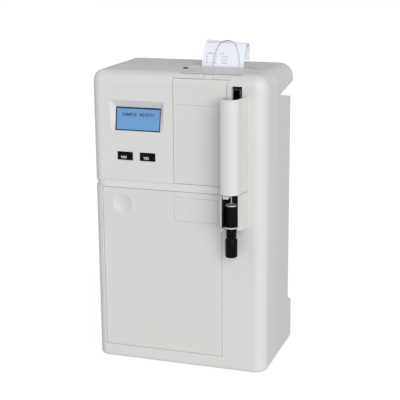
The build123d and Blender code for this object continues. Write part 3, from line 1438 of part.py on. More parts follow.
rocker_axis = Axis((inlet_x, front_y + rocker_pivot, low_z + rocker_height), (1, 0, 0))
with BuildPart() as rocker_level:
    with BuildSketch(Plane.YZ.offset(inlet_x - rocker_wide / 2)):
        with BuildLine():
            Polyline(
                (front_y + rocker_pivot - 5, low_z + rocker_height - 5),
                (front_y + rocker_pivot, low_z + rocker_height - rocker_half + 0.6),
                (front_y + rocker_pivot + 4.5, low_z + rocker_height - rocker_half + 0.9),
                (front_y + rocker_pivot + 3, low_z + rocker_height),
                (front_y + rocker_pivot + 4.5, low_z + rocker_height + rocker_half - 0.9),
                (front_y + rocker_pivot, low_z + rocker_height + rocker_half - 0.6),
                (front_y + rocker_pivot - 5, low_z + rocker_height + 5),
                close=True,
            )
        make_face()
    extrude(amount=rocker_wide)
with BuildPart() as rocker_switch:
    add(rocker_level.part.rotate(rocker_axis, rocker_tilt))
    bar_x(rocker_pivot, rocker_height, inlet_x - rocker_wide / 2 - clear - rocker_stub,
          inlet_x + rocker_wide / 2 + clear + rocker_stub, stub_radius)
rocker_switch.part.label = "rocker_switch"
export_step(rocker_switch.part, "parts/rocker_switch.step")

with BuildPart() as serial_port:
    cell(serial_x - serial_flange / 2, serial_x + serial_flange / 2, block_depth - wall - 1,
         block_depth - wall, serial_height - 6.25, serial_height + 6.25)
    cell(serial_x - serial_wide / 2, serial_x + serial_wide / 2, block_depth - wall, block_depth + 3,
         serial_height - serial_tall / 2, serial_height + serial_tall / 2)
    cell(serial_x - serial_wide / 2 + 0.8, serial_x + serial_wide / 2 - 0.8, block_depth - wall + 1,
         block_depth + 4, serial_height - serial_tall / 2 + 0.8, serial_height + serial_tall / 2 - 0.8,
         Mode.SUBTRACT)
    cell(serial_x - serial_wide / 2, serial_x + serial_wide / 2, block_depth - wall - serial_deep,
         block_depth - wall - 0.5, serial_height - serial_tall / 2, serial_height + serial_tall / 2)
serial_port.part.label = "serial_port"
export_step(serial_port.part, "parts/serial_port.step")

with BuildPart() as rubber_feet:
    for x in (-1, 1):
        for y in (front_y + foot_inset, back_y - foot_inset):
            rod_z(x * (half - foot_inset), y, 0, low_z + foot_seat, foot_radius)
rubber_feet.part.label = "rubber_feet"
export_step(rubber_feet.part, "parts/rubber_feet.step")

screw_seat_depth = chassis_depth + chassis_sheet + screw_seat
with BuildPart() as housing_screws:
    for x in (-1, 1):
        for across, up in ((screw_x_low, screw_height_low), (screw_x_high, screw_height_high)):
            bar_y(x * across, up, chassis_depth - screw_grip, screw_seat_depth, screw_shank)
            bar_y(x * across, up, screw_seat_depth, screw_seat_depth + head_tall, head_radius)
            bar_y(x * across, up, screw_seat_depth + head_tall - 1, screw_seat_depth + head_tall + 1,
                  1.2, Mode.SUBTRACT)
housing_screws.part.label = "housing_screws"
export_step(housing_screws.part, "parts/housing_screws.step")
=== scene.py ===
import math

import bmesh
import bpy
from mathutils import Matrix, Vector


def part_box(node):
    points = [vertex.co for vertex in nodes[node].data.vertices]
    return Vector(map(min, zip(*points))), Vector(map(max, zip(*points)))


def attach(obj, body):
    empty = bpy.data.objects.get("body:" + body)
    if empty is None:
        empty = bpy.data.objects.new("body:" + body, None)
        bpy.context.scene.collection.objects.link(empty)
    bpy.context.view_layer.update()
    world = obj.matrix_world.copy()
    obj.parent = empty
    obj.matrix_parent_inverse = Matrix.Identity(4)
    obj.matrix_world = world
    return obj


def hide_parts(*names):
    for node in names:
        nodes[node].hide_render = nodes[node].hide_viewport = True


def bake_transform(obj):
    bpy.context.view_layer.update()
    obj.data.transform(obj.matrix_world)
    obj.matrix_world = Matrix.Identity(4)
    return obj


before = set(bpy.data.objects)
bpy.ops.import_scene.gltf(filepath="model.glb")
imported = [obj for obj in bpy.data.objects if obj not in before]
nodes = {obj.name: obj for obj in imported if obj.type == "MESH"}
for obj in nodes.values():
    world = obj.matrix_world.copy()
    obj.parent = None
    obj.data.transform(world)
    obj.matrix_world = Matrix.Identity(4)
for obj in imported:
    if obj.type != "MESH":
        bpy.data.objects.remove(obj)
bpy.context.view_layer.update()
scene = bpy.context.scene
scene.view_settings.view_transform = "Standard"

# Camera. It stands a little to the right of the analyzer and above it, and looks slightly
# down, as the photographer did with a long lens.
camera_place = Vector((0.4640, -1.3464, 0.5857))
camera_aim = Vector((0.0306, -0.0570, 0.2331))
camera_roll = math.radians(0.45)
camera_lens = 97.8
camera_data = bpy.data.cameras.new("studio_camera")
camera_data.lens = camera_lens
camera_data.sensor_width = 36.0
camera_data.sensor_fit = "HORIZONTAL"
camera = bpy.data.objects.new("studio_camera", camera_data)
scene.collection.objects.link(camera)
scene.camera = camera
back = (camera_place - camera_aim).normalized()
right = Vector((0, 0, 1)).cross(back).normalized()
up = back.cross(right)
turned_right = math.cos(camera_roll) * right - math.sin(camera_roll) * up
turned_up = math.sin(camera_roll) * right + math.cos(camera_roll) * up
camera.matrix_world = Matrix.Translation(camera_place) @ Matrix(
    (turned_right, turned_up, back)
).transposed().to_4x4()

# Studio. A white sweep of paper under and behind the analyzer, an even white room, and one
# broad lamp from the front and the right, which leaves the top and the left edge darker.
room_strength = 0.52
lamp_strength = 2.04
lamp_azimuth = math.radians(35.6)
lamp_height = math.radians(17.3)
lamp_spread = math.radians(50)
floor_reach = 6.0
floor_glow = 0.80
floor_seen = 0.36
floor_bounce = 0.80

world = bpy.data.worlds.new("white_room")
world.use_nodes = True
scene.world = world
room = world.node_tree
room.nodes.clear()
room_out = room.nodes.new("ShaderNodeOutputWorld")
room_mix = room.nodes.new("ShaderNodeMixShader")
room_light = room.nodes.new("ShaderNodeBackground")
room_seen = room.nodes.new("ShaderNodeBackground")
room_path = room.nodes.new("ShaderNodeLightPath")
room_light.inputs["Strength"].default_value = room_strength
room_light.inputs["Color"].default_value = (1, 1, 1, 1)
room_seen.inputs["Color"].default_value = (1, 1, 1, 1)
room.links.new(room_path.outputs["Is Camera Ray"], room_mix.inputs["Fac"])
room.links.new(room_light.outputs["Background"], room_mix.inputs[1])
room.links.new(room_seen.outputs["Background"], room_mix.inputs[2])
room.links.new(room_mix.outputs["Shader"], room_out.inputs["Surface"])

lamp_data = bpy.data.lights.new("front_lamp", "SUN")
lamp_data.energy = lamp_strength
lamp_data.angle = lamp_spread
lamp = bpy.data.objects.new("front_lamp", lamp_data)
scene.collection.objects.link(lamp)
lamp_from = Vector(
    (
        math.sin(lamp_azimuth) * math.cos(lamp_height),
        -math.cos(lamp_azimuth) * math.cos(lamp_height),
        math.sin(lamp_height),
    )
)
lamp.rotation_euler = lamp_from.to_track_quat("Z", "Y").to_euler()

floor_mesh = bpy.data.meshes.new("floor")
corners = [(x * floor_reach, y * floor_reach, 0) for x, y in ((-1, -1), (1, -1), (1, 1), (-1, 1))]
floor_mesh.from_pydata(corners, [], [range(4)])
floor = bpy.data.objects.new("floor", floor_mesh)
scene.collection.objects.link(floor)
paper = bpy.data.materials.new("white_sweep")
paper.use_nodes = True
sweep = paper.node_tree
sweep.nodes.clear()
sweep_out = sweep.nodes.new("ShaderNodeOutputMaterial")
sweep_mix = sweep.nodes.new("ShaderNodeMixShader")
sweep_add = sweep.nodes.new("ShaderNodeAddShader")
sweep_seen = sweep.nodes.new("ShaderNodeBsdfDiffuse")
sweep_glow = sweep.nodes.new("ShaderNodeEmission")
sweep_bounce = sweep.nodes.new("ShaderNodeBsdfDiffuse")
sweep_path = sweep.nodes.new("ShaderNodeLightPath")
sweep_seen.inputs["Color"].default_value = (floor_seen, floor_seen, floor_seen, 1)
sweep_glow.inputs["Strength"].default_value = floor_glow
sweep_bounce.inputs["Color"].default_value = (floor_bounce, floor_bounce, floor_bounce, 1)
sweep.links.new(sweep_seen.outputs[0], sweep_add.inputs[0])
sweep.links.new(sweep_glow.outputs[0], sweep_add.inputs[1])
sweep.links.new(sweep_path.outputs["Is Camera Ray"], sweep_mix.inputs["Fac"])
sweep.links.new(sweep_bounce.outputs[0], sweep_mix.inputs[1])
sweep.links.new(sweep_add.outputs[0], sweep_mix.inputs[2])
sweep.links.new(sweep_mix.outputs[0], sweep_out.inputs["Surface"])
floor_mesh.materials.append(paper)

# Housing. The two shells are moulded in warm light grey plastic with a fine spark texture.
# The rear one, seen in the hand grip and behind the seam, is a little darker.
housing_grey = (0.668, 0.670, 0.655)
rear_grey = (0.636, 0.638, 0.624)
grain_deep = 0.0002
grain_gloss = 0.10  # how far the pattern shifts the roughness


def worked(tree, operation, *values):
    """A number worked out in a tree, from sockets or numbers."""
    node = tree.nodes.new("ShaderNodeMath")
    node.operation = operation
    for socket, value in zip(node.inputs, values):
        if isinstance(value, (int, float)):
            socket.default_value = value
        else:
            tree.links.new(value, socket)
    return node.outputs[0]


def surface_group(name, *own_inputs):
    """Node group of a surface, with its inputs and outputs, and the place on the object."""
    group = bpy.data.node_groups.new(name, "ShaderNodeTree")
    inputs = (("Color", "Color"), *own_inputs, ("Depth", "Float"), ("Gloss", "Float"))
    outputs = (("Color", "Color"), ("Roughness", "Float"), ("Height", "Float"))
    for side, sockets in (("INPUT", inputs), ("OUTPUT", outputs)):
        for label, kind in sockets:
            group.interface.new_socket(label, in_out=side, socket_type="NodeSocket" + kind)
    place = group.nodes.new("ShaderNodeTexCoord").outputs["Object"]
    return group, group.nodes.new("NodeGroupInput"), group.nodes.new("NodeGroupOutput"), place


def end_surface(group, into, out, pattern, relief, gloss_span):
    """Ends a surface's group: the pattern shifts the tone by Depth, and the gloss by a span."""
    centred = worked(group, "SUBTRACT", pattern, 0.5)
    paint = group.nodes.new("ShaderNodeVectorMath")
    paint.operation = "SCALE"
    tone = worked(group, "MULTIPLY_ADD", centred, into.outputs["Depth"], 1.0)
    gloss = worked(group, "MULTIPLY_ADD", centred, gloss_span, into.outputs["Gloss"])
    group.links.new(into.outputs["Color"], paint.inputs[0])
    group.links.new(tone, paint.inputs["Scale"])
    group.links.new(paint.outputs["Vector"], out.inputs["Color"])
    group.links.new(gloss, out.inputs["Roughness"])
    group.links.new(relief, out.inputs["Height"])
    return group


def noise(group, place, detail):
    """A noise in a surface's group."""
    node = group.nodes.new("ShaderNodeTexNoise")
    node.inputs["Detail"].default_value = detail
    group.links.new(place, node.inputs["Vector"])
    return node


def fine_texture():
    """Node group: a moulded plastic's fine grain, with a slow drift in tone and gloss."""
    group, into, out, place = surface_group("fine_texture", ("Grain", "Float"), ("Drift", "Float"))
    grain = noise(group, place, 2.0)
    drift = noise(group, place, 1.0)
    group.links.new(into.outputs["Grain"], grain.inputs["Scale"])
    group.links.new(into.outputs["Drift"], drift.inputs["Scale"])
    return end_surface(group, into, out, drift.outputs["Fac"], grain.outputs["Fac"], grain_gloss)


texture_group = fine_texture()


def surfaced(name, group, values, bump, bump_deep, sockets):
    """A Principled material with a surface's node group; sockets are set by their names."""
    material = bpy.data.materials.new(name)
    material.use_nodes = True
    tree = material.node_tree
    shader = tree.nodes["Principled BSDF"]
    surface = tree.nodes.new("ShaderNodeGroup")
    surface.node_tree = group
    for label, value in values.items():
        surface.inputs[label].default_value = value
    relief = tree.nodes.new("ShaderNodeBump")
    relief.inputs["Strength"].default_value = bump
    relief.inputs["Distance"].default_value = bump_deep
    tree.links.new(surface.outputs["Color"], shader.inputs["Base Color"])
    tree.links.new(surface.outputs["Roughness"], shader.inputs["Roughness"])
    tree.links.new(surface.outputs["Height"], relief.inputs["Height"])
    tree.links.new(relief.outputs["Normal"], shader.inputs["Normal"])
    for socket, value in sockets.items():
        shader.inputs[socket.replace("_", " ")].default_value = value
    return material


def moulded(name, color, gloss=0.48, grain=2500.0, bump=0.06, drift=14.0, depth=0.03, **sockets):
    """A moulded plastic, with a fine grain and a slow drift."""
    values = {"Color": (*color, 1), "Grain": grain, "Drift": drift, "Depth": depth, "Gloss": gloss}
    return surfaced(name, texture_group, values, bump, grain_deep, sockets)


def finish_node(material, *names):
    """Gives CAD nodes a material."""
    for name in names:
        mesh = nodes[name].data
        mesh.materials.clear()
        mesh.materials.append(material)


housing_plastic = moulded("housing_plastic", housing_grey)
finish_node(housing_plastic, "front_shell")
finish_node(moulded("rear_plastic", rear_grey), "rear_shell")

# Feet and screws. Four soft rubber feet sit in shallow seats under the housing. Four zinc
# plated pan head screws with a cross recess go in from the back, through the chassis plate.
screw_places = ((-0.106, 0.0113), (0.106, 0.0113), (-0.108, 0.3395), (0.108, 0.3395))
screw_seat = 0.027
crown_taper = 0.72  # the crown's top radius, as a share of the head's
recess_arm = 0.26  # an arm's width, as a share of the recess
to_back = (-math.pi / 2, 0, 0)
screw_sizes = {
    "Head Radius": 0.0029,
    "Head Height": 0.0022,
    "Shank Radius": 0.0015,
    "Shank Length": 0.016,
    "Recess": 0.0036,
}
line_gloss = 0.15
line_bump = 0.08
line_deep = 0.0001


def drawn_lines():
    """Node group: the fine lines that rolling or drawing leaves on metal."""
    group, into, out, place = surface_group("drawn_lines", ("Lines", "Vector"))
    stretch = group.nodes.new("ShaderNodeVectorMath")
    stretch.operation = "MULTIPLY"
    group.links.new(place, stretch.inputs[0])
    group.links.new(into.outputs["Lines"], stretch.inputs[1])
    streak = noise(group, stretch.outputs["Vector"], 3.0)
    streak.inputs["Scale"].default_value = 1.0
    return end_surface(group, into, out, streak.outputs["Fac"], streak.outputs["Fac"], line_gloss)


drawn_group = drawn_lines()


def metallic(name, color, rough, lines, depth=0.05):
    """A metal with fine drawn lines; lines gives how tight they lie along X, Y and Z."""
    values = {"Color": (*color, 1), "Lines": lines, "Depth": depth, "Gloss": rough}
    return surfaced(name, drawn_group, values, line_bump, line_deep, {"Metallic": 1.0})


def made_piece(name, mesh, material):
    """A new object at the origin with its own mesh and material."""
    mesh.name = name
    mesh.materials.clear()
    mesh.materials.append(material)
    piece = bpy.data.objects.new(name, mesh)
    scene.collection.objects.link(piece)
    return piece


def settle(piece, body, slot, *stands_for):
    """The piece rides on its body and stands for the nodes that it replaces; slot is not used."""
    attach(piece, body)
    if stands_for:
        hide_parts(*stands_for)


def shaded(mesh, angle=35):
    """Smooth shading, with creases kept where two faces meet at more than the angle."""
    for face in mesh.polygons:
        face.use_smooth = True
    mesh.set_sharp_from_angle(angle=math.radians(angle))


def new_tree(name, sizes):
    """A geometry tree with a named input for each size; it returns the tree and its two ends."""
    tree = bpy.data.node_groups.new(name, "GeometryNodeTree")
    face = tree.interface
    face.new_socket("Geometry", in_out="INPUT", socket_type="NodeSocketGeometry")
    for label in sizes:
        face.new_socket(label, in_out="INPUT", socket_type="NodeSocketFloat")
    face.new_socket("Finish", in_out="INPUT", socket_type="NodeSocketMaterial")
    face.new_socket("Geometry", in_out="OUTPUT", socket_type="NodeSocketGeometry")
    return tree, tree.nodes.new("NodeGroupInput"), tree.nodes.new("NodeGroupOutput")


def end_tree(tree, into, out, geometry):
    """Ends a geometry tree: instances made real, then the material."""
    real = tree.nodes.new("GeometryNodeRealizeInstances")
    finish = tree.nodes.new("GeometryNodeSetMaterial")
    tree.links.new(geometry, real.inputs["Geometry"])
    tree.links.new(real.outputs["Geometry"], finish.inputs["Geometry"])
    tree.links.new(into.outputs["Finish"], finish.inputs["Material"])
    tree.links.new(finish.outputs["Geometry"], out.inputs["Geometry"])


def combined(tree, x, y, z):
    """A vector in a geometry tree, from sockets or numbers."""
    node = tree.nodes.new("ShaderNodeCombineXYZ")
    for label, value in (("X", x), ("Y", y), ("Z", z)):
        if isinstance(value, (int, float)):
            node.inputs[label].default_value = value
        else:
            tree.links.new(value, node.inputs[label])
    return node.outputs["Vector"]


def moved(tree, geometry, shift, turn=(0, 0, 0)):
    """Geometry moved and turned in a geometry tree."""
    node = tree.nodes.new("GeometryNodeTransform")
    node.inputs["Rotation"].default_value = turn
    tree.links.new(geometry, node.inputs["Geometry"])
    tree.links.new(shift, node.inputs["Translation"])
    return node.outputs["Geometry"]


def put_together(tree, *geometries):
    """Geometries joined in a geometry tree."""
    node = tree.nodes.new("GeometryNodeJoinGeometry")
    for geometry in geometries:
        tree.links.new(geometry, node.inputs["Geometry"])
    return node.outputs["Geometry"]


def end_on_points(tree, into, out, instance, turn=(0, 0, 0), mesh=None):
    """Ends a geometry tree with an instance on each point of the mesh, or of what comes in."""
    seats = tree.nodes.new("GeometryNodeMeshToPoints")
    tree.links.new(mesh or into.outputs["Geometry"], seats.inputs["Mesh"])
    spread = tree.nodes.new("GeometryNodeInstanceOnPoints")
    spread.inputs["Rotation"].default_value = turn
    tree.links.new(seats.outputs["Points"], spread.inputs["Points"])
    tree.links.new(instance, spread.inputs["Instance"])
    end_tree(tree, into, out, spread.outputs["Instances"])


def grown(name, points, tree, sizes, material, edges=()):
    """Runs a geometry tree over some points, and keeps the result as a plain piece."""
    seed_mesh = bpy.data.meshes.new("seed")
    seed_mesh.from_pydata([tuple(point) for point in points], list(edges), [])
    seed = bpy.data.objects.new("seed", seed_mesh)
    scene.collection.objects.link(seed)
    grower = seed.modifiers.new("grow", "NODES")
    grower.node_group = tree
    for socket in tree.interface.items_tree:
        if socket.name in sizes:
            grower[socket.identifier] = sizes[socket.name]
        if socket.name == "Finish":
            grower[socket.identifier] = material
    depsgraph = bpy.context.evaluated_depsgraph_get()
    depsgraph.update()
    mesh = bpy.data.meshes.new_from_object(seed.evaluated_get(depsgraph))
    seed.modifiers.remove(grower)
    bpy.data.objects.remove(seed)
    bpy.data.meshes.remove(seed_mesh)
    shaded(mesh)
    return made_piece(name, mesh, material)


def cylinder(tree, radius, deep, vertices):
    """An upright cylinder round the middle in a geometry tree."""
    node = tree.nodes.new("GeometryNodeMeshCylinder")
    node.inputs["Vertices"].default_value = vertices
    tree.links.new(radius, node.inputs["Radius"])
    tree.links.new(deep, node.inputs["Depth"])
    return node.outputs["Mesh"]


def boolean(tree, operation, others, first=None):
    """Meshes made one, or cut out of the first one, in a geometry tree."""
    node = tree.nodes.new("GeometryNodeMeshBoolean")
    node.operation = operation
    node.solver = "EXACT"
    if first:
        tree.links.new(first, node.inputs["Mesh 1"])
    for other in others:
        tree.links.new(other, node.inputs["Mesh 2"])
    return node.outputs["Mesh"]


def screw_tree():
    """Geometry tree: a pan head screw with a cross recess on every point, heads to the back."""
    tree, into, out = new_tree("pan_head_screws", screw_sizes)
    size = into.outputs
    half_head = worked(tree, "MULTIPLY", size["Head Height"], 0.5)
    quarter = worked(tree, "MULTIPLY", size["Head Height"], 0.25)
    head = moved(tree, cylinder(tree, size["Head Radius"], half_head, 40), combined(tree, 0, 0, quarter))
    cone = tree.nodes.new("GeometryNodeMeshCone")
    cone.inputs["Vertices"].default_value = 40
    tree.links.new(size["Head Radius"], cone.inputs["Radius Bottom"])
    tree.links.new(worked(tree, "MULTIPLY", size["Head Radius"], crown_taper), cone.inputs["Radius Top"])
    tree.links.new(half_head, cone.inputs["Depth"])
    crown = moved(tree, cone.outputs["Mesh"], combined(tree, 0, 0, half_head))
    arms = []
    for wide, deep in ((1.0, recess_arm), (recess_arm, 1.0)):
        arm = tree.nodes.new("GeometryNodeMeshCube")
        across = worked(tree, "MULTIPLY", size["Recess"], wide)
        along = worked(tree, "MULTIPLY", size["Recess"], deep)
        tree.links.new(combined(tree, across, along, size["Head Height"]), arm.inputs["Size"])
        arms.append(moved(tree, arm.outputs["Mesh"], combined(tree, 0, 0, size["Head Height"])))
    top = boolean(tree, "DIFFERENCE", arms, boolean(tree, "UNION", (head, crown)))
    shank = cylinder(tree, size["Shank Radius"], size["Shank Length"], 24)
    half_shank = worked(tree, "MULTIPLY", size["Shank Length"], -0.5)
    stem = moved(tree, shank, combined(tree, 0, 0, half_shank))
    end_on_points(tree, into, out, put_together(tree, top, stem), to_back)
    return tree


zinc = metallic("zinc_plated", (0.62, 0.62, 0.60), 0.32, (900, 900, 900))
screw_seats = [(x, screw_seat, z) for x, z in screw_places]
screws = grown("pan_head_screws", screw_seats, screw_tree(), screw_sizes, zinc)
settle(screws, "housing", "steel", "housing_screws")
foot_rubber = moulded("foot_rubber", (0.030, 0.030, 0.031), 0.72, 900.0, 0.2)
finish_node(foot_rubber, "rubber_feet")

# Sheet metal. The chassis plate and the fluid plate are folded from two millimetre aluminium
# sheet, rolled and left bare.
rolled_sheet = metallic("rolled_aluminium", (0.66, 0.67, 0.68), 0.38, (60, 900, 900), 0.10)
finish_node(rolled_sheet, "chassis_plate", "fluid_plate")

# Power supply. A closed case of bright aluminium with slots in its back, screwed to the
# chassis plate over the reagents' level.
supply_case = metallic("supply_case", (0.60, 0.61, 0.62), 0.34, (900, 900, 60), 0.08)
finish_node(supply_case, "power_supply")

# Mains inlet and its switch. A black socket with three nickel blades snaps into the back,
# and a rocker with its two marks turns in the same frame.
blade_box = ((-0.0902, 0.0591, 0.0763), (-0.0738, 0.0720, 0.0847))
blade_nickel = (0.72, 0.70, 0.66)
rocker_place = Vector((-0.082, 0.071, 0.1045))
mark_size = 0.0036
mark_places = (("I", 0.00312, 0.0050, -1.9), ("O", 0.00432, -0.0039, 17.9))


def inside_box():
    """Node group: a mask that is 1 between two corners of the object, and 0 outside them."""
    group = bpy.data.node_groups.new("inside_box", "ShaderNodeTree")
    sockets = (("Low", "INPUT", "Vector"), ("High", "INPUT", "Vector"), ("Mask", "OUTPUT", "Float"))
    for label, side, kind in sockets:
        group.interface.new_socket(label, in_out=side, socket_type="NodeSocket" + kind)
    into = group.nodes.new("NodeGroupInput")
    out = group.nodes.new("NodeGroupOutput")
    split = []
    place = group.nodes.new("ShaderNodeTexCoord")
    for source in (place.outputs["Object"], into.outputs["Low"], into.outputs["High"]):
        apart = group.nodes.new("ShaderNodeSeparateXYZ")
        group.links.new(source, apart.inputs["Vector"])
        split.append(apart.outputs)
    mask = 1.0
    for axis in "XYZ":
        for limit, operation in ((1, "GREATER_THAN"), (2, "LESS_THAN")):
            test = worked(group, operation, split[0][axis], split[limit][axis])
            mask = worked(group, "MULTIPLY", mask, test)
    group.links.new(mask, out.inputs["Mask"])
    return group


box_group = inside_box()


def box_mask(material, low, high):
    """The mask of a box in a material, as a socket."""
    node = material.node_tree.nodes.new("ShaderNodeGroup")
    node.node_tree = box_group
    node.inputs["Low"].default_value = low
    node.inputs["High"].default_value = high
    return node.outputs["Mask"]


def painted_over(material, mask, color, socket="Base Color"):
    """Paints a second colour over a material's first one where the mask is 1."""
    tree = material.node_tree
    target = tree.nodes["Principled BSDF"].inputs[socket]
    mix = tree.nodes.new("ShaderNodeMix")
    mix.data_type = "RGBA"
    first, second = mix.inputs[6], mix.inputs[7]
    if target.is_linked:
        tree.links.new(target.links[0].from_socket, first)
    else:
        first.default_value = target.default_value
    second.default_value = (*color, 1)
    tree.links.new(mask, mix.inputs[0])
    tree.links.new(mix.outputs[2], target)


inlet_black = moulded("inlet_black", (0.016, 0.016, 0.017), 0.42, 1800.0, 0.08)
blades = box_mask(inlet_black, *blade_box)
painted_over(inlet_black, blades, blade_nickel)
inlet_black.node_tree.links.new(blades, inlet_black.node_tree.nodes["Principled BSDF"].inputs["Metallic"])
finish_node(inlet_black, "power_inlet")
rocker_black = moulded("rocker_black", (0.013, 0.013, 0.014), 0.34, 2200.0, 0.04)
finish_node(rocker_black, "rocker_switch")


def lettered(name, words, size, place, across, upwards, material, deep=0.00003, weight=0.00008):
    """Words as a thin mesh, centred on a place, that read along across with upwards up."""
    curve = bpy.data.curves.new(name, "FONT")
    curve.body = words
    curve.size = size
    curve.align_x = "CENTER"
    curve.align_y = "CENTER"
    curve.extrude = deep
    curve.offset = weight
    curve.resolution_u = 3
    words_object = bpy.data.objects.new(name, curve)
    scene.collection.objects.link(words_object)
    x_axis = Vector(across).normalized()
    z_axis = x_axis.cross(Vector(upwards)).normalized()
    turn = Matrix((x_axis, z_axis.cross(x_axis), z_axis)).transposed()
    depsgraph = bpy.context.evaluated_depsgraph_get()
    depsgraph.update()
    mesh = bpy.data.meshes.new_from_object(words_object.evaluated_get(depsgraph))
    mesh.transform(Matrix.Translation(Vector(place)) @ turn.to_4x4())
    bpy.data.objects.remove(words_object)
    bpy.data.curves.remove(curve)
    return made_piece(name, mesh, material)


mark_white = moulded("mark_white", (0.80, 0.80, 0.79), 0.5, 3000.0, 0.02)
for mark, out, rise, tilt in mark_places:
    lean = math.radians(tilt)
    spot = rocker_place + Vector((0, out, rise))
    upwards = (0, -math.sin(lean), math.cos(lean))
    label = "rocker_mark_on" if mark == "I" else "rocker_mark_off"
    sign = lettered(label, mark, mark_size, spot, (-1, 0, 0), upwards, mark_white, 0.00005)
    settle(sign, "rocker_switch", "black_plastic")

# Data socket. A nine pin socket of pressed steel sits in the back over the mains inlet, with
# two rows of gold pins in a black insert.
pin_pitch = 0.00277
pin_row = 0.00142
socket_middle = Vector((-0.072, 0.0705, 0.2375))
pin_foot = 0.0004
pin_sizes = {"Radius": 0.0005, "Length": 0.0033}
insert_half = Vector((0.0074, 0, 0.0036))
insert_front = Vector((0, 0.00002, 0))
insert_back = Vector((0, 0.0005, 0))


def pin_tree():
    """Geometry tree: a round contact pin on every point, towards the back."""
    tree, into, out = new_tree("contact_pins", pin_sizes)
    pin = cylinder(tree, into.outputs["Radius"], into.outputs["Length"], 16)
    half_long = worked(tree, "MULTIPLY", into.outputs["Length"], 0.5)
    end_on_points(tree, into, out, moved(tree, pin, combined(tree, 0, 0, half_long)), to_back)
    return tree


nickel = metallic("nickel_shell", (0.58, 0.57, 0.54), 0.28, (800, 800, 800))
finish_node(nickel, "serial_port")
gold = metallic("gold_plate", (0.83, 0.62, 0.26), 0.22, (900, 200, 900))
pins = [((place - 2) * pin_pitch, pin_row) for place in range(5)]
pins += [((place - 1.5) * pin_pitch, -pin_row) for place in range(4)]
pin_feet = [socket_middle + Vector((x, pin_foot, z)) for x, z in pins]
settle(grown("contact_pins", pin_feet, pin_tree(), pin_sizes, gold), "housing", "steel")


def kept_mesh(shape, name):
    """The mesh of a bmesh, with smooth shading."""
    mesh = bpy.data.meshes.new(name)
    shape.to_mesh(mesh)
    shape.free()
    shaded(mesh)
    return mesh


def slab(low, high, bevel=0.0002):
    """A closed box mesh between two corners, with softened edges."""
    shape = bmesh.new()
    bmesh.ops.create_cube(shape, size=1.0)
    low, high = Vector(low), Vector(high)
    middle, size = (low + high) / 2, high - low
    for vertex in shape.verts:
        vertex.co = middle + Vector([vertex.co[axis] * size[axis] for axis in range(3)])
    bmesh.ops.bevel(shape, geom=shape.edges[:], offset=bevel, segments=2, affect="EDGES", profile=0.5)
    return kept_mesh(shape, "slab")


insert = slab(socket_middle - insert_half + insert_front, socket_middle + insert_half + insert_back)
settle(made_piece("socket_insert", insert, rocker_black), "housing", "black_plastic")

# Circuit boards. Green laminate with copper tracks under the lacquer; rows of small parts
# are soldered on, beside the large chips and plugs that the boards carry.
board_green = (0.012, 0.085, 0.035)
track_green = (0.030, 0.17, 0.075)
board_parts = {"Long": 0.0032, "Wide": 0.0016, "High": 0.0011, "Seed": 7.0}
parts_kept = 0.72  # the share of places that have a part
main_face = 0.0286
seat_margin = 0.014
seat_pitch = (0.0062, 0.0075)
seat_columns = 16
seat_rows = (3, 4, 5, 8, 9, 10)


def laminate():
    """Circuit board: green lacquer with lighter tracks under it."""
    material = moulded("circuit_laminate", board_green, 0.35, 1200.0, 0.05, Coat_Weight=0.3)
    tree = material.node_tree
    place = tree.nodes.new("ShaderNodeTexCoord")
    tracks = tree.nodes.new("ShaderNodeTexBrick")
    tracks.inputs["Scale"].default_value = 120.0
    tracks.inputs["Mortar Size"].default_value = 0.05
    tracks.inputs["Mortar Smooth"].default_value = 0.0
    flat = tree.nodes.new("ShaderNodeMapping")
    flat.inputs["Rotation"].default_value = (math.pi / 2, 0, 0)
    tree.links.new(place.outputs["Object"], flat.inputs["Vector"])
    tree.links.new(flat.outputs["Vector"], tracks.inputs["Vector"])
    painted_over(material, tracks.outputs["Fac"], track_green)
    return material


def parts_tree():
    """Geometry tree: a small soldered part on every point, some of them left out."""
    tree, into, out = new_tree("small_parts", board_parts)
    body = tree.nodes.new("GeometryNodeMeshCube")
    size = combined(tree, into.outputs["Long"], into.outputs["High"], into.outputs["Wide"])
    tree.links.new(size, body.inputs["Size"])
    chance = tree.nodes.new("FunctionNodeRandomValue")
    chance.data_type = "BOOLEAN"
    chance.inputs["Probability"].default_value = parts_kept
    tree.links.new(into.outputs["Seed"], chance.inputs["Seed"])
    chosen = tree.nodes.new("GeometryNodeSeparateGeometry")
    tree.links.new(into.outputs["Geometry"], chosen.inputs["Geometry"])
    tree.links.new(chance.outputs[3], chosen.inputs["Selection"])
    end_on_points(tree, into, out, body.outputs["Mesh"], mesh=chosen.outputs["Selection"])
    return tree


finish_node(laminate(), "main_board", "display_board")
part_ceramic = moulded("part_ceramic", (0.16, 0.13, 0.10), 0.4, 2500.0, 0.03)
main_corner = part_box("main_board")[0] + Vector((seat_margin, 0, seat_margin))
seat_depth = main_face + board_parts["High"] / 2
main_seats = [
    (main_corner.x + seat_pitch[0] * column, seat_depth, main_corner.z + seat_pitch[1] * row)
    for column in range(seat_columns)
    for row in seat_rows
]
main_parts = grown("main_board_parts", main_seats, parts_tree(), board_parts, part_ceramic)
settle(main_parts, "housing", "circuit_board")

# Reagent bay. A dark box lines the space behind the main door. At its back a manifold pierces
# the pack with six nozzles, each with a rubber ring; the pack is a blow moulded white tank.
manifold_spot = (-22.5, 63.0, 58.0)
nozzle_count = 6
nozzle_pitch = 14.0
ring_sizes = {"Ring Radius": 0.0026, "Cord Radius": 0.0005}


def at(across, deep, high):
    """A place, from millimetres across, deep from the front face and high from the foot."""
    return Vector((across, deep - 57.0, high + 1.5)) / 1000


def circle(tree, radius, resolution):
    """A round curve in a geometry tree."""
    node = tree.nodes.new("GeometryNodeCurvePrimitiveCircle")
    node.inputs["Resolution"].default_value = resolution
    tree.links.new(radius, node.inputs["Radius"])
    return node.outputs["Curve"]


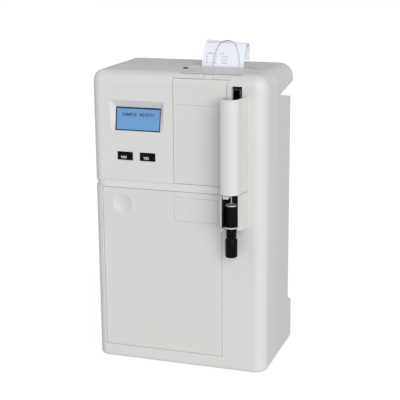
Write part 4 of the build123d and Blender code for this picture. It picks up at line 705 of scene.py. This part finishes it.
def swept(tree, path, profile, capped=True):
    """A profile swept along a path in a geometry tree."""
    node = tree.nodes.new("GeometryNodeCurveToMesh")
    node.inputs["Fill Caps"].default_value = capped
    tree.links.new(path, node.inputs["Curve"])
    tree.links.new(profile, node.inputs["Profile Curve"])
    return node.outputs["Mesh"]


def ring_tree():
    """Geometry tree: a round ring on every point, its axis from front to back."""
    tree, into, out = new_tree("round_rings", ring_sizes)
    ring = circle(tree, into.outputs["Ring Radius"], 40)
    cord = circle(tree, into.outputs["Cord Radius"], 12)
    end_on_points(tree, into, out, swept(tree, ring, cord, capped=False), (math.pi / 2, 0, 0))
    return tree


rings = ring_tree()
inner_plastic = moulded("inner_plastic", (0.014, 0.014, 0.0155), 0.5, 1500.0, 0.10)
finish_node(inner_plastic, "reagent_bay", "pack_manifold")
pack_white = moulded("pack_white", (0.72, 0.73, 0.71), 0.42, 700.0, 0.10, Subsurface_Weight=0.1)
finish_node(pack_white, "reagent_pack")
nozzle_seats = [
    at(manifold_spot[0] + (index - (nozzle_count - 1) / 2) * nozzle_pitch, *manifold_spot[1:])
    for index in range(nozzle_count)
]
nozzle_rings = grown("nozzle_rings", nozzle_seats, rings, ring_sizes, foot_rubber)
settle(nozzle_rings, "housing", "roller_rubber")

# Pump and valve. Three steel rollers on a black rotor squeeze a soft tube against the body,
# and a round valve with a key slot chooses the fluid; each has its own small motor.
pump_middle = (19.0, 27.0, 312.0)
tube_bend = 15.4
tube_foot = 293.0
tube_step = 3.8
bend_steps = 36
tube_sizes = {"Tube Radius": 0.0009}


def tube_tree():
    """Geometry tree: a round tube along the line of points."""
    tree, into, out = new_tree("soft_tube", tube_sizes)
    path = tree.nodes.new("GeometryNodeMeshToCurve")
    tree.links.new(into.outputs["Geometry"], path.inputs["Mesh"])
    wall = circle(tree, into.outputs["Tube Radius"], 20)
    end_tree(tree, into, out, swept(tree, path.outputs["Curve"], wall))
    return tree


def tube(name, places, sizes):
    """A silicone tube along a line of places."""
    steps = [(step, step + 1) for step in range(len(places) - 1)]
    return grown(name, places, tubes, sizes, silicone, steps)


tubes = tube_tree()
silicone = moulded("silicone_tube", (0.62, 0.60, 0.54), 0.3, 900.0, 0.05, Subsurface_Weight=0.15)
tube_line = [(pump_middle[0] - tube_bend, tube_foot + tube_step * step) for step in range(5)]
for step in range(bend_steps + 1):
    turn = math.pi * step / bend_steps
    tube_line.append(
        (pump_middle[0] - tube_bend * math.cos(turn), pump_middle[2] + tube_bend * math.sin(turn))
    )
tube_line += [(pump_middle[0] + tube_bend, pump_middle[2] - tube_step * step) for step in range(1, 6)]
tube_places = [at(across, pump_middle[1], high) for across, high in tube_line]
settle(tube("pump_hose", tube_places, tube_sizes), "housing", "tube_rubber", "pump_tube")
finish_node(moulded("pump_grey", (0.045, 0.047, 0.052), 0.45, 1700.0, 0.08), "pump_body", "valve_body")
finish_node(moulded("rotor_black", (0.012, 0.012, 0.013), 0.38, 2000.0, 0.05), "pump_rotor", "valve_rotor")
bright_steel = metallic("bright_steel", (0.66, 0.66, 0.65), 0.22, (1400, 1400, 200))
finish_node(bright_steel, "pump_rollers", "hinge_pins", "guide_rods")
motor_can = metallic("motor_can", (0.34, 0.34, 0.35), 0.36, (900, 120, 900), 0.12)
finish_node(motor_can, "pump_motor", "valve_motor", "sampler_motor", "printer_motor")

# Electrodes. Four clear-cast bodies, each tinted for its ion, stand in a black holder; a ring
# seals each membrane, and a lever at the side presses the stack together.
electrode_middle = (53.5, 16.3, 281.3)
electrode_pitch = 14.8
tints = (
    ("sodium", (0.52, 0.36, 0.045)),
    ("potassium", (0.34, 0.055, 0.035)),
    ("chloride", (0.035, 0.17, 0.075)),
    ("reference", (0.10, 0.12, 0.15)),
)
membrane_sizes = {"Ring Radius": 0.0047, "Cord Radius": 0.0006}
for ion, tint in tints:
    clear_cast = moulded(ion + "_body", tint, 0.18, 400.0, 0.02, 9.0, 0.10, Coat_Weight=0.6)
    finish_node(clear_cast, ion + "_electrode")
membrane_seats = [
    at(*electrode_middle[:2], electrode_middle[2] + index * electrode_pitch) for index in range(len(tints))
]
membrane_rings = grown("membrane_rings", membrane_seats, rings, membrane_sizes, foot_rubber)
settle(membrane_rings, "housing", "roller_rubber")
finish_node(inner_plastic, "electrode_block", "clamp_lever")

# Display. A blue backlit module leans back behind its recess, with one row of dark characters
# near its top; a thin clear window closes the recess from the inside.
screen_middle = at(-54.7, 3.4, 332.5)
screen_lean = math.radians(9.5)
screen_half = Vector((0.0313, 0, 0.0155))
window_depth = (0.00085, 0.00145)
window_margin = Vector((0.0015, 0, 0.0015))
window_bevel = 0.0001
lit_low = (-0.0847, -0.0580, 0.3200)
lit_high = (-0.0253, -0.0480, 0.3467)
lit_blue = (0.136, 0.308, 0.566)
ink_blue = (0.004, 0.034, 0.110)
ink_weight = 0.00011
rim_painted_shadow = (0.010, 0.022, 0.045)
rim_shadow_glow = (0.006, 0.016, 0.036)
recess_low = at(-93.5, 0.12, 314.0)
recess_high = at(-16.5, 9.0, 359.5)
recess_painted_glow = (0.654, 0.670, 0.690)
row_depth = 0.00172
row_rise = 0.0056
row_size = 0.0060
row_words = (("display_left_word", "SAMPLE", -0.0128), ("display_right_word", "READY?", 0.0118))

# Painted light: the recess's bevels are painted lighter and bluer, as the screen's glow falling on them.
painted_over(housing_plastic, box_mask(housing_plastic, recess_low, recess_high), recess_painted_glow)
inward = Vector((0, math.cos(screen_lean), -math.sin(screen_lean)))
screen_up = Vector((0, math.sin(screen_lean), math.cos(screen_lean)))
screen_turn = Matrix(((1, 0, 0), inward, screen_up)).transposed().to_4x4()
# Painted shadow: outside the lit area the module is dark navy, as the shadow of the recess's edge on the
# screen.
backlit = moulded("backlit_module", rim_painted_shadow, 0.3, 1500.0, 0.02, Emission_Strength=1.0)
lit_area = box_mask(backlit, lit_low, lit_high)
painted_over(backlit, lit_area, lit_blue, "Emission Color")
backlit.node_tree.nodes["Mix"].inputs[6].default_value = (*rim_shadow_glow, 1)
finish_node(backlit, "lcd_module")
window = slab(
    Vector((0, window_depth[0], 0)) - screen_half - window_margin,
    Vector((0, window_depth[1], 0)) + screen_half + window_margin,
    window_bevel,
)
window.transform(Matrix.Translation(screen_middle) @ screen_turn)
clear_plastic = moulded(
    "clear_plastic", (1.0, 1.0, 1.0), 0.03, 600.0, 0.0, 5.0, 0.0, Transmission_Weight=1.0, IOR=1.08
)
settle(made_piece("display_window", window, clear_plastic), "housing", "clear_lens", "display_lens")
display_ink = moulded("display_ink", (0.01, 0.02, 0.04), 0.4, 900.0, 0.0, Emission_Strength=1.0)
display_ink.node_tree.nodes["Principled BSDF"].inputs["Emission Color"].default_value = (*ink_blue, 1)
for label, words, across in row_words:
    spot = screen_middle + inward * row_depth + screen_up * row_rise + Vector((across, 0, 0))
    text = lettered(label, words, row_size, spot, (1, 0, 0), screen_up, display_ink, weight=ink_weight)
    settle(text, "housing", "lcd_glass")

# Keys. Two black push keys with softened edges and white printed words, on stems that reach
# the switches on the board behind them.
jet_black = (0.004, 0.004, 0.0045)
key_words = (("no_key", "NO", -0.0738), ("yes_key", "YES", -0.0427))
key_word_size = 0.0049
key_face = -0.05802
key_word_height = 0.2836
key_black = moulded("key_black", jet_black, 0.45, 2200.0, 0.05, Specular_IOR_Level=0.06)
finish_node(key_black, "no_key", "yes_key")
for key, words, across in key_words:
    spot = (across, key_face, key_word_height)
    text = lettered(key + "_word", words, key_word_size, spot, (1, 0, 0), (0, 0, 1), mark_white)
    settle(text, key, "housing_plastic")

# Doors and rail. The rail between the doors has a slanted upper face. The main door with its
# finger dimple and the electrode door are of the housing's plastic; the electrode door's right
# edge is painted dark, as painted shade in the narrow seam beside the sampler.
seam_low = (0.06664, -0.0566, 0.2)
seam_high = (0.0668, -0.04, 0.4)
seam_painted_shade = (0.02, 0.02, 0.02)
rail_plastic = moulded("rail_plastic", (0.676, 0.678, 0.664), 0.40, 2600.0, 0.04)
finish_node(rail_plastic, "front_rail")
door_plastic = moulded("door_plastic", (0.655, 0.657, 0.641), 0.46)
# Painted shade: the electrode door's right edge is painted near black, as the seam's shadow.
painted_over(door_plastic, box_mask(door_plastic, seam_low, seam_high), seam_painted_shade)
finish_node(door_plastic, "main_door", "electrode_door")

# Sampler. A long cover hides the probe; in the black channel under it the needle passes a
# white guide and a black wiper with a bright dish, down into a black vial held by its neck.
channel_black = (0.008, 0.008, 0.009)
guide_white = (0.78, 0.78, 0.77)
channel_low = at(68.0, -29.5, 203.8)
channel_high = at(87.0, -0.6, 249.0)
guide_low = at(69.0, -25.0, 241.1)
guide_high = at(75.7, -1.0, 246.3)
probe_line = at(77.5, -15.0, 0)
wiper_low = 204.2
wiper_high = 232.8
wiper_radius = 9.2
wiper_slope = 2.2
wiper_bore = 1.7
dish_bore = 2.0
dish_radius = 6.4
dish_sphere = 9.177
dish_middle = wiper_high - 2.6 + dish_sphere
# Outlines for the lathe are (radius, height) in millimetres; the rim's are over the wiper.
dish_rim = ((6.45, 0.04), (7.0, 0.04), (8.3, -1.25), (8.45, -1.1), (7.05, 0.35), (6.4, 0.4))
dish_faces = (0.04, 0.3)
skirt_outline = ((2.0, 204.18), (2.0, 202.1), (7.4, 202.1), (9.0, 203.7), (9.0, 204.18))
vial_outside = ((0.001, 163.5), (6.3, 163.5), (7.2, 163.8), (7.7, 164.4), (7.9, 165.3), (7.9, 186.4))
vial_shoulder = ((7.7, 187.1), (7.2, 187.7), (6.5, 188.2), (6.5, 191.2), (5.2, 191.3), (5.2, 199.4))
vial_inside = ((4.2, 199.4), (4.2, 188.6), (6.9, 186.0), (6.9, 164.5), (0.001, 164.5))


def turned(outline, centre, steps=64):
    """A mesh turned on a lathe round an upright axis, from a closed line of (radius, height)."""
    shape = bmesh.new()
    rings = []
    for step in range(steps):
        turn = 2 * math.pi * step / steps
        rings.append(
            [
                shape.verts.new(Vector((r * math.cos(turn), r * math.sin(turn), h)) / 1000 + centre)
                for r, h in outline
            ]
        )
    for step in range(steps):
        this, following = rings[step], rings[(step + 1) % steps]
        for row in range(len(outline)):
            after = (row + 1) % len(outline)
            shape.faces.new((this[row], following[row], following[after], this[after]))
    bmesh.ops.remove_doubles(shape, verts=shape.verts, dist=1e-7)
    bmesh.ops.recalc_face_normals(shape, faces=shape.faces)
    return kept_mesh(shape, "turned")


base_plastic = moulded("base_plastic", housing_grey)
painted_over(base_plastic, box_mask(base_plastic, channel_low, channel_high), channel_black)
painted_over(base_plastic, box_mask(base_plastic, guide_low, guide_high), guide_white)
finish_node(base_plastic, "sampler_base")
cover_plastic = moulded("cover_plastic", (0.672, 0.674, 0.660), 0.44)
finish_node(cover_plastic, "sampler_cover")
wiper_black = moulded("wiper_black", jet_black, 0.42, 1800.0, 0.05, Specular_IOR_Level=0.06)
finish_node(wiper_black, "vial_clip")
vial_black = moulded("vial_black", jet_black, 0.2, 500.0, 0.02, Specular_IOR_Level=0.08)
needle_steel = metallic("needle_steel", (0.72, 0.72, 0.71), 0.20, (1500, 1500, 120))
finish_node(needle_steel, "sample_probe")
drive_black = moulded("drive_black", (0.10, 0.10, 0.10), 0.5, 1500.0, 0.08, Specular_IOR_Level=0.2)
finish_node(drive_black, "probe_carriage")
dark_sheet = moulded("dark_sheet", (0.10, 0.10, 0.10), 0.6, 1300.0, 0.12, Specular_IOR_Level=0.2)
finish_node(dark_sheet, "sampler_bracket")

dish_rise = [
    (radius, dish_middle - math.sqrt(dish_sphere**2 - radius**2))
    for radius in [dish_bore + (dish_radius - dish_bore) * step / 12 for step in range(13)]
]
body = [(wiper_bore, wiper_low), (wiper_radius - 0.4, wiper_low), (wiper_radius, wiper_low + 0.4)]
body += [(wiper_radius, wiper_high - wiper_slope), (wiper_radius - wiper_slope, wiper_high)]
body += list(reversed(dish_rise)) + [(wiper_bore, dish_rise[0][1])]
wiper = made_piece("wiper_body", turned(body, probe_line), wiper_black)
settle(wiper, "housing", "black_plastic", "probe_wiper")
flask = turned(vial_outside + vial_shoulder + vial_inside, probe_line)
settle(made_piece("vial_body", flask, vial_black), "vial", "vial_plastic", "sample_vial")
rim = [(radius, height + dish_faces[0]) for radius, height in dish_rise]
rim += [(radius, wiper_high + rise) for radius, rise in dish_rim]
rim += [(radius, height + dish_faces[1]) for radius, height in reversed(dish_rise)]
satin = metallic("satin_dish", (0.88, 0.88, 0.88), 0.55, (700, 700, 700))
settle(made_piece("wiper_dish", turned(rim, probe_line), satin), "housing", "steel")
skirt = made_piece("wiper_skirt", turned(skirt_outline, probe_line), mark_white)
settle(skirt, "housing", "housing_plastic")

# Probe drive. A motor turns a lead screw with four rolled threads, which lifts the carriage on
# its two rods; a soft hose leads from the carriage to the fluid plate.
thread_foot = at(88.0, 24.0, 264.6)
screw_line = at(88.0, 24.0, 0)
thread_sizes = {"Core": 0.00255, "Crest": 0.00048, "Long": 0.1088, "Lead": 0.008}
shaft_foot = ((0.001, 254.1), (1.6, 254.1), (2.0, 254.5), (2.0, 264.3), (2.6, 264.3))
shaft_head = ((2.6, 373.7), (2.0, 373.7), (2.0, 375.6), (1.6, 376.0), (0.001, 376.0))
hose_foot = at(80.0, 36.0, 264.0)
hose_head = at(80.0, 36.0, 317.5)
hose_steps = 16
hose_sizes = {"Tube Radius": 0.0012}


def thread_tree():
    """Geometry tree: a four start thread that climbs from every point."""
    tree, into, out = new_tree("lead_thread", thread_sizes)
    spiral = tree.nodes.new("GeometryNodeCurveSpiral")
    spiral.inputs["Resolution"].default_value = 28
    turns = worked(tree, "DIVIDE", into.outputs["Long"], into.outputs["Lead"])
    tree.links.new(turns, spiral.inputs["Rotations"])
    tree.links.new(into.outputs["Core"], spiral.inputs["Start Radius"])
    tree.links.new(into.outputs["Core"], spiral.inputs["End Radius"])
    tree.links.new(into.outputs["Long"], spiral.inputs["Height"])
    start = swept(tree, spiral.outputs["Curve"], circle(tree, into.outputs["Crest"], 6))
    still = combined(tree, 0.0, 0.0, 0.0)
    starts = [moved(tree, start, still, (0, 0, math.pi / 2 * turn)) for turn in range(4)]
    end_on_points(tree, into, out, put_together(tree, *starts))
    return tree


thread = grown("lead_screw_thread", [thread_foot], thread_tree(), thread_sizes, bright_steel)
settle(thread, "lead_screw", "steel")
shaft = made_piece("lead_screw_shaft", turned(shaft_foot + shaft_head, screw_line, 40), bright_steel)
settle(shaft, "lead_screw", "steel", "lead_screw")
hose_line = [hose_foot.lerp(hose_head, step / hose_steps) for step in range(hose_steps + 1)]
hose = tube("probe_hose", hose_line, hose_sizes)
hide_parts("probe_tube")
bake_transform(hose)

# Printer. A black frame holds the roll in its trough, the rubber platen and its gears; the
# thermal head behind the platen is a dark ceramic strip on an aluminium heat sink.
finish_node(inner_plastic, "printer_frame")
finish_node(moulded("platen_rubber", (0.022, 0.022, 0.023), 0.66, 1100.0, 0.15), "platen_roller")
finish_node(moulded("gear_white", (0.70, 0.70, 0.66), 0.34, 1200.0, 0.04), "platen_gear")
finish_node(metallic("turned_brass", (0.76, 0.56, 0.24), 0.26, (200, 1200, 1200)), "motor_pinion")
head_dark = moulded("head_ceramic", (0.040, 0.030, 0.022), 0.16, 600.0, 0.02, Coat_Weight=0.5)
finish_node(head_dark, "print_head")

# Paper. Thermal paper, white with a cold tint; the roll shows its windings at both ends, and
# the printed slip curls back and over, torn off along a serrated edge.
paper_white = (0.835, 0.875, 0.945)
slip_left = 0.0095
slip_wide = 0.0575
slip_place = at(0, 75.2, 0).y
slip_low = 0.375
slip_bend = 0.3925
slip_radius = 0.0440
slip_long = 0.0730
slip_lean = (math.radians(52), math.radians(43.5))  # at its left and its right edge
slip_curl = (0.009, 0.0105)  # at its left and its right edge
slip_drop = math.radians(192)
slip_thick = 0.00012
slip_columns = 115
slip_rows = 48
tear = 0.0005
print_proud = 0.00003
print_weight = (0.00001, 0.00003)
roll_middle = at(0, 33.0, 372.0)
winding_grey = (0.45, 0.47, 0.50)
winding_scale = 900.0
winding_tone = 0.25
print_rows = (
    ("slip_heading", "ELECTROLYTES  REPORT", 0.0028, 0.0190, 0.0385),
    ("slip_sample", "SAMPLE 12       12:30", 0.0027, 0.0178, 0.0211),
    ("slip_sodium", "Na        141.2         mmol/L", 0.0027, 0.0200, 0.0168),
    ("slip_potassium", "K           4.21         mmol/L", 0.0027, 0.0200, 0.0125),
    ("slip_chloride", "Cl        102.8         mmol/L", 0.0027, 0.0200, 0.0088),
)


def bent(across, along, proud):
    """A place on the slip, from its bend's start: it leans back, then curls over and down."""
    if along <= 0:
        return Vector((across, slip_place - proud, slip_bend + along))
    side = (across - slip_left) / slip_wide
    lean = slip_lean[0] + (slip_lean[1] - slip_lean[0]) * side
    curl = slip_curl[0] + (slip_curl[1] - slip_curl[0]) * side
    turn, radius = along / slip_radius, slip_radius
    if turn > lean:
        turn, radius = lean + (along - lean * slip_radius) / curl, curl
    hanging = max(0.0, turn - slip_drop) * radius
    turn = min(turn, slip_drop)
    rear = slip_place + slip_radius - (slip_radius - radius) * math.cos(lean) + hanging * math.sin(turn)
    rise = slip_bend + (slip_radius - radius) * math.sin(lean) + hanging * math.cos(turn)
    reach = radius + proud
    return Vector((across, rear - reach * math.cos(turn), rise + reach * math.sin(turn)))


def slip_mesh():
    """The slip as a thin closed sheet with a saw-toothed upper edge."""
    shape = bmesh.new()
    sides = []
    for proud in (0.0, -slip_thick):
        sheet = []
        for column in range(slip_columns + 1):
            top = slip_long - (tear if column % 2 else 0.0)
            across = slip_left + slip_wide * column / slip_columns
            points = [bent(across, slip_low - slip_bend, proud)]
            points += [bent(across, top * row / slip_rows, proud) for row in range(slip_rows + 1)]
            sheet.append([shape.verts.new(point) for point in points])
        sides.append(sheet)
    front, rear = sides
    for column in range(slip_columns):
        for row in range(slip_rows + 1):
            for sheet in sides:
                corners = (sheet[column][row], sheet[column + 1][row])
                shape.faces.new((*corners, sheet[column + 1][row + 1], sheet[column][row + 1]))
    for row in (0, -1):
        for column in range(slip_columns):
            near, far = front[column][row], front[column + 1][row]
            shape.faces.new((near, far, rear[column + 1][row], rear[column][row]))
    for column in (0, -1):
        for row in range(slip_rows + 1):
            near, far = front[column][row], front[column][row + 1]
            shape.faces.new((near, far, rear[column][row + 1], rear[column][row]))
    bmesh.ops.recalc_face_normals(shape, faces=shape.faces)
    return kept_mesh(shape, "slip")


thermal_paper = moulded("thermal_paper", paper_white, 0.6, 3500.0, 0.04, 40.0, 0.02)
settle(made_piece("printed_slip", slip_mesh(), thermal_paper), "housing", "paper", "paper_slip")
print_grey = moulded("thermal_print", (0.26, 0.29, 0.36), 0.6, 2500.0, 0.0)
for label, words, size, across, along in print_rows:
    line = lettered(label, words, size, (0, 0, 0), (1, 0, 0), (0, 0, 1), print_grey, *print_weight)
    for vertex in line.data.vertices:
        flat = vertex.co.copy()
        vertex.co = bent(slip_left + across + flat.x, along + flat.z, print_proud - flat.y)
    settle(line, "housing", "paper")
wound = moulded("wound_paper", (0.74, 0.76, 0.79), 0.7, 2500.0, 0.03, 40.0, 0.02)
wound_tree = wound.node_tree
wound_place = wound_tree.nodes.new("ShaderNodeTexCoord")
wound_centre = wound_tree.nodes.new("ShaderNodeMapping")
wound_centre.inputs["Location"].default_value = -roll_middle
windings = wound_tree.nodes.new("ShaderNodeTexWave")
windings.wave_type = "RINGS"
windings.rings_direction = "X"
windings.inputs["Scale"].default_value = winding_scale
wound_tree.links.new(wound_place.outputs["Object"], wound_centre.inputs["Vector"])
wound_tree.links.new(wound_centre.outputs["Vector"], windings.inputs["Vector"])
painted_over(wound, worked(wound_tree, "MULTIPLY", windings.outputs["Fac"], winding_tone), winding_grey)
finish_node(wound, "paper_roll")

# Printer lid. It is cut from the same plastic as the top; its wire hoop of polished steel
# keeps the slip from falling forward. The dark lamp on the left is a smoked light pipe in a
# black bezel.
lamp_line = at(-3.6, 47.0, 0)
bezel = [(2.65, 394.95), (3.3, 394.95), (3.3, 395.5), (2.9, 396.0), (2.65, 396.0)]
finish_node(moulded("lid_plastic", (0.662, 0.664, 0.650), 0.46), "printer_lid")
hoop_steel = metallic("hoop_steel", (0.50, 0.52, 0.55), 0.42, (200, 200, 200), 0.03)
finish_node(hoop_steel, "paper_guide_wire")
lamp_smoke = moulded("lamp_smoke", (0.003, 0.004, 0.003), 0.60, 900.0, 0.0, Specular_IOR_Level=0.0)
finish_node(lamp_smoke, "status_lamp")
settle(made_piece("lamp_bezel", turned(bezel, lamp_line, 48), lamp_smoke), "housing", "black_plastic")
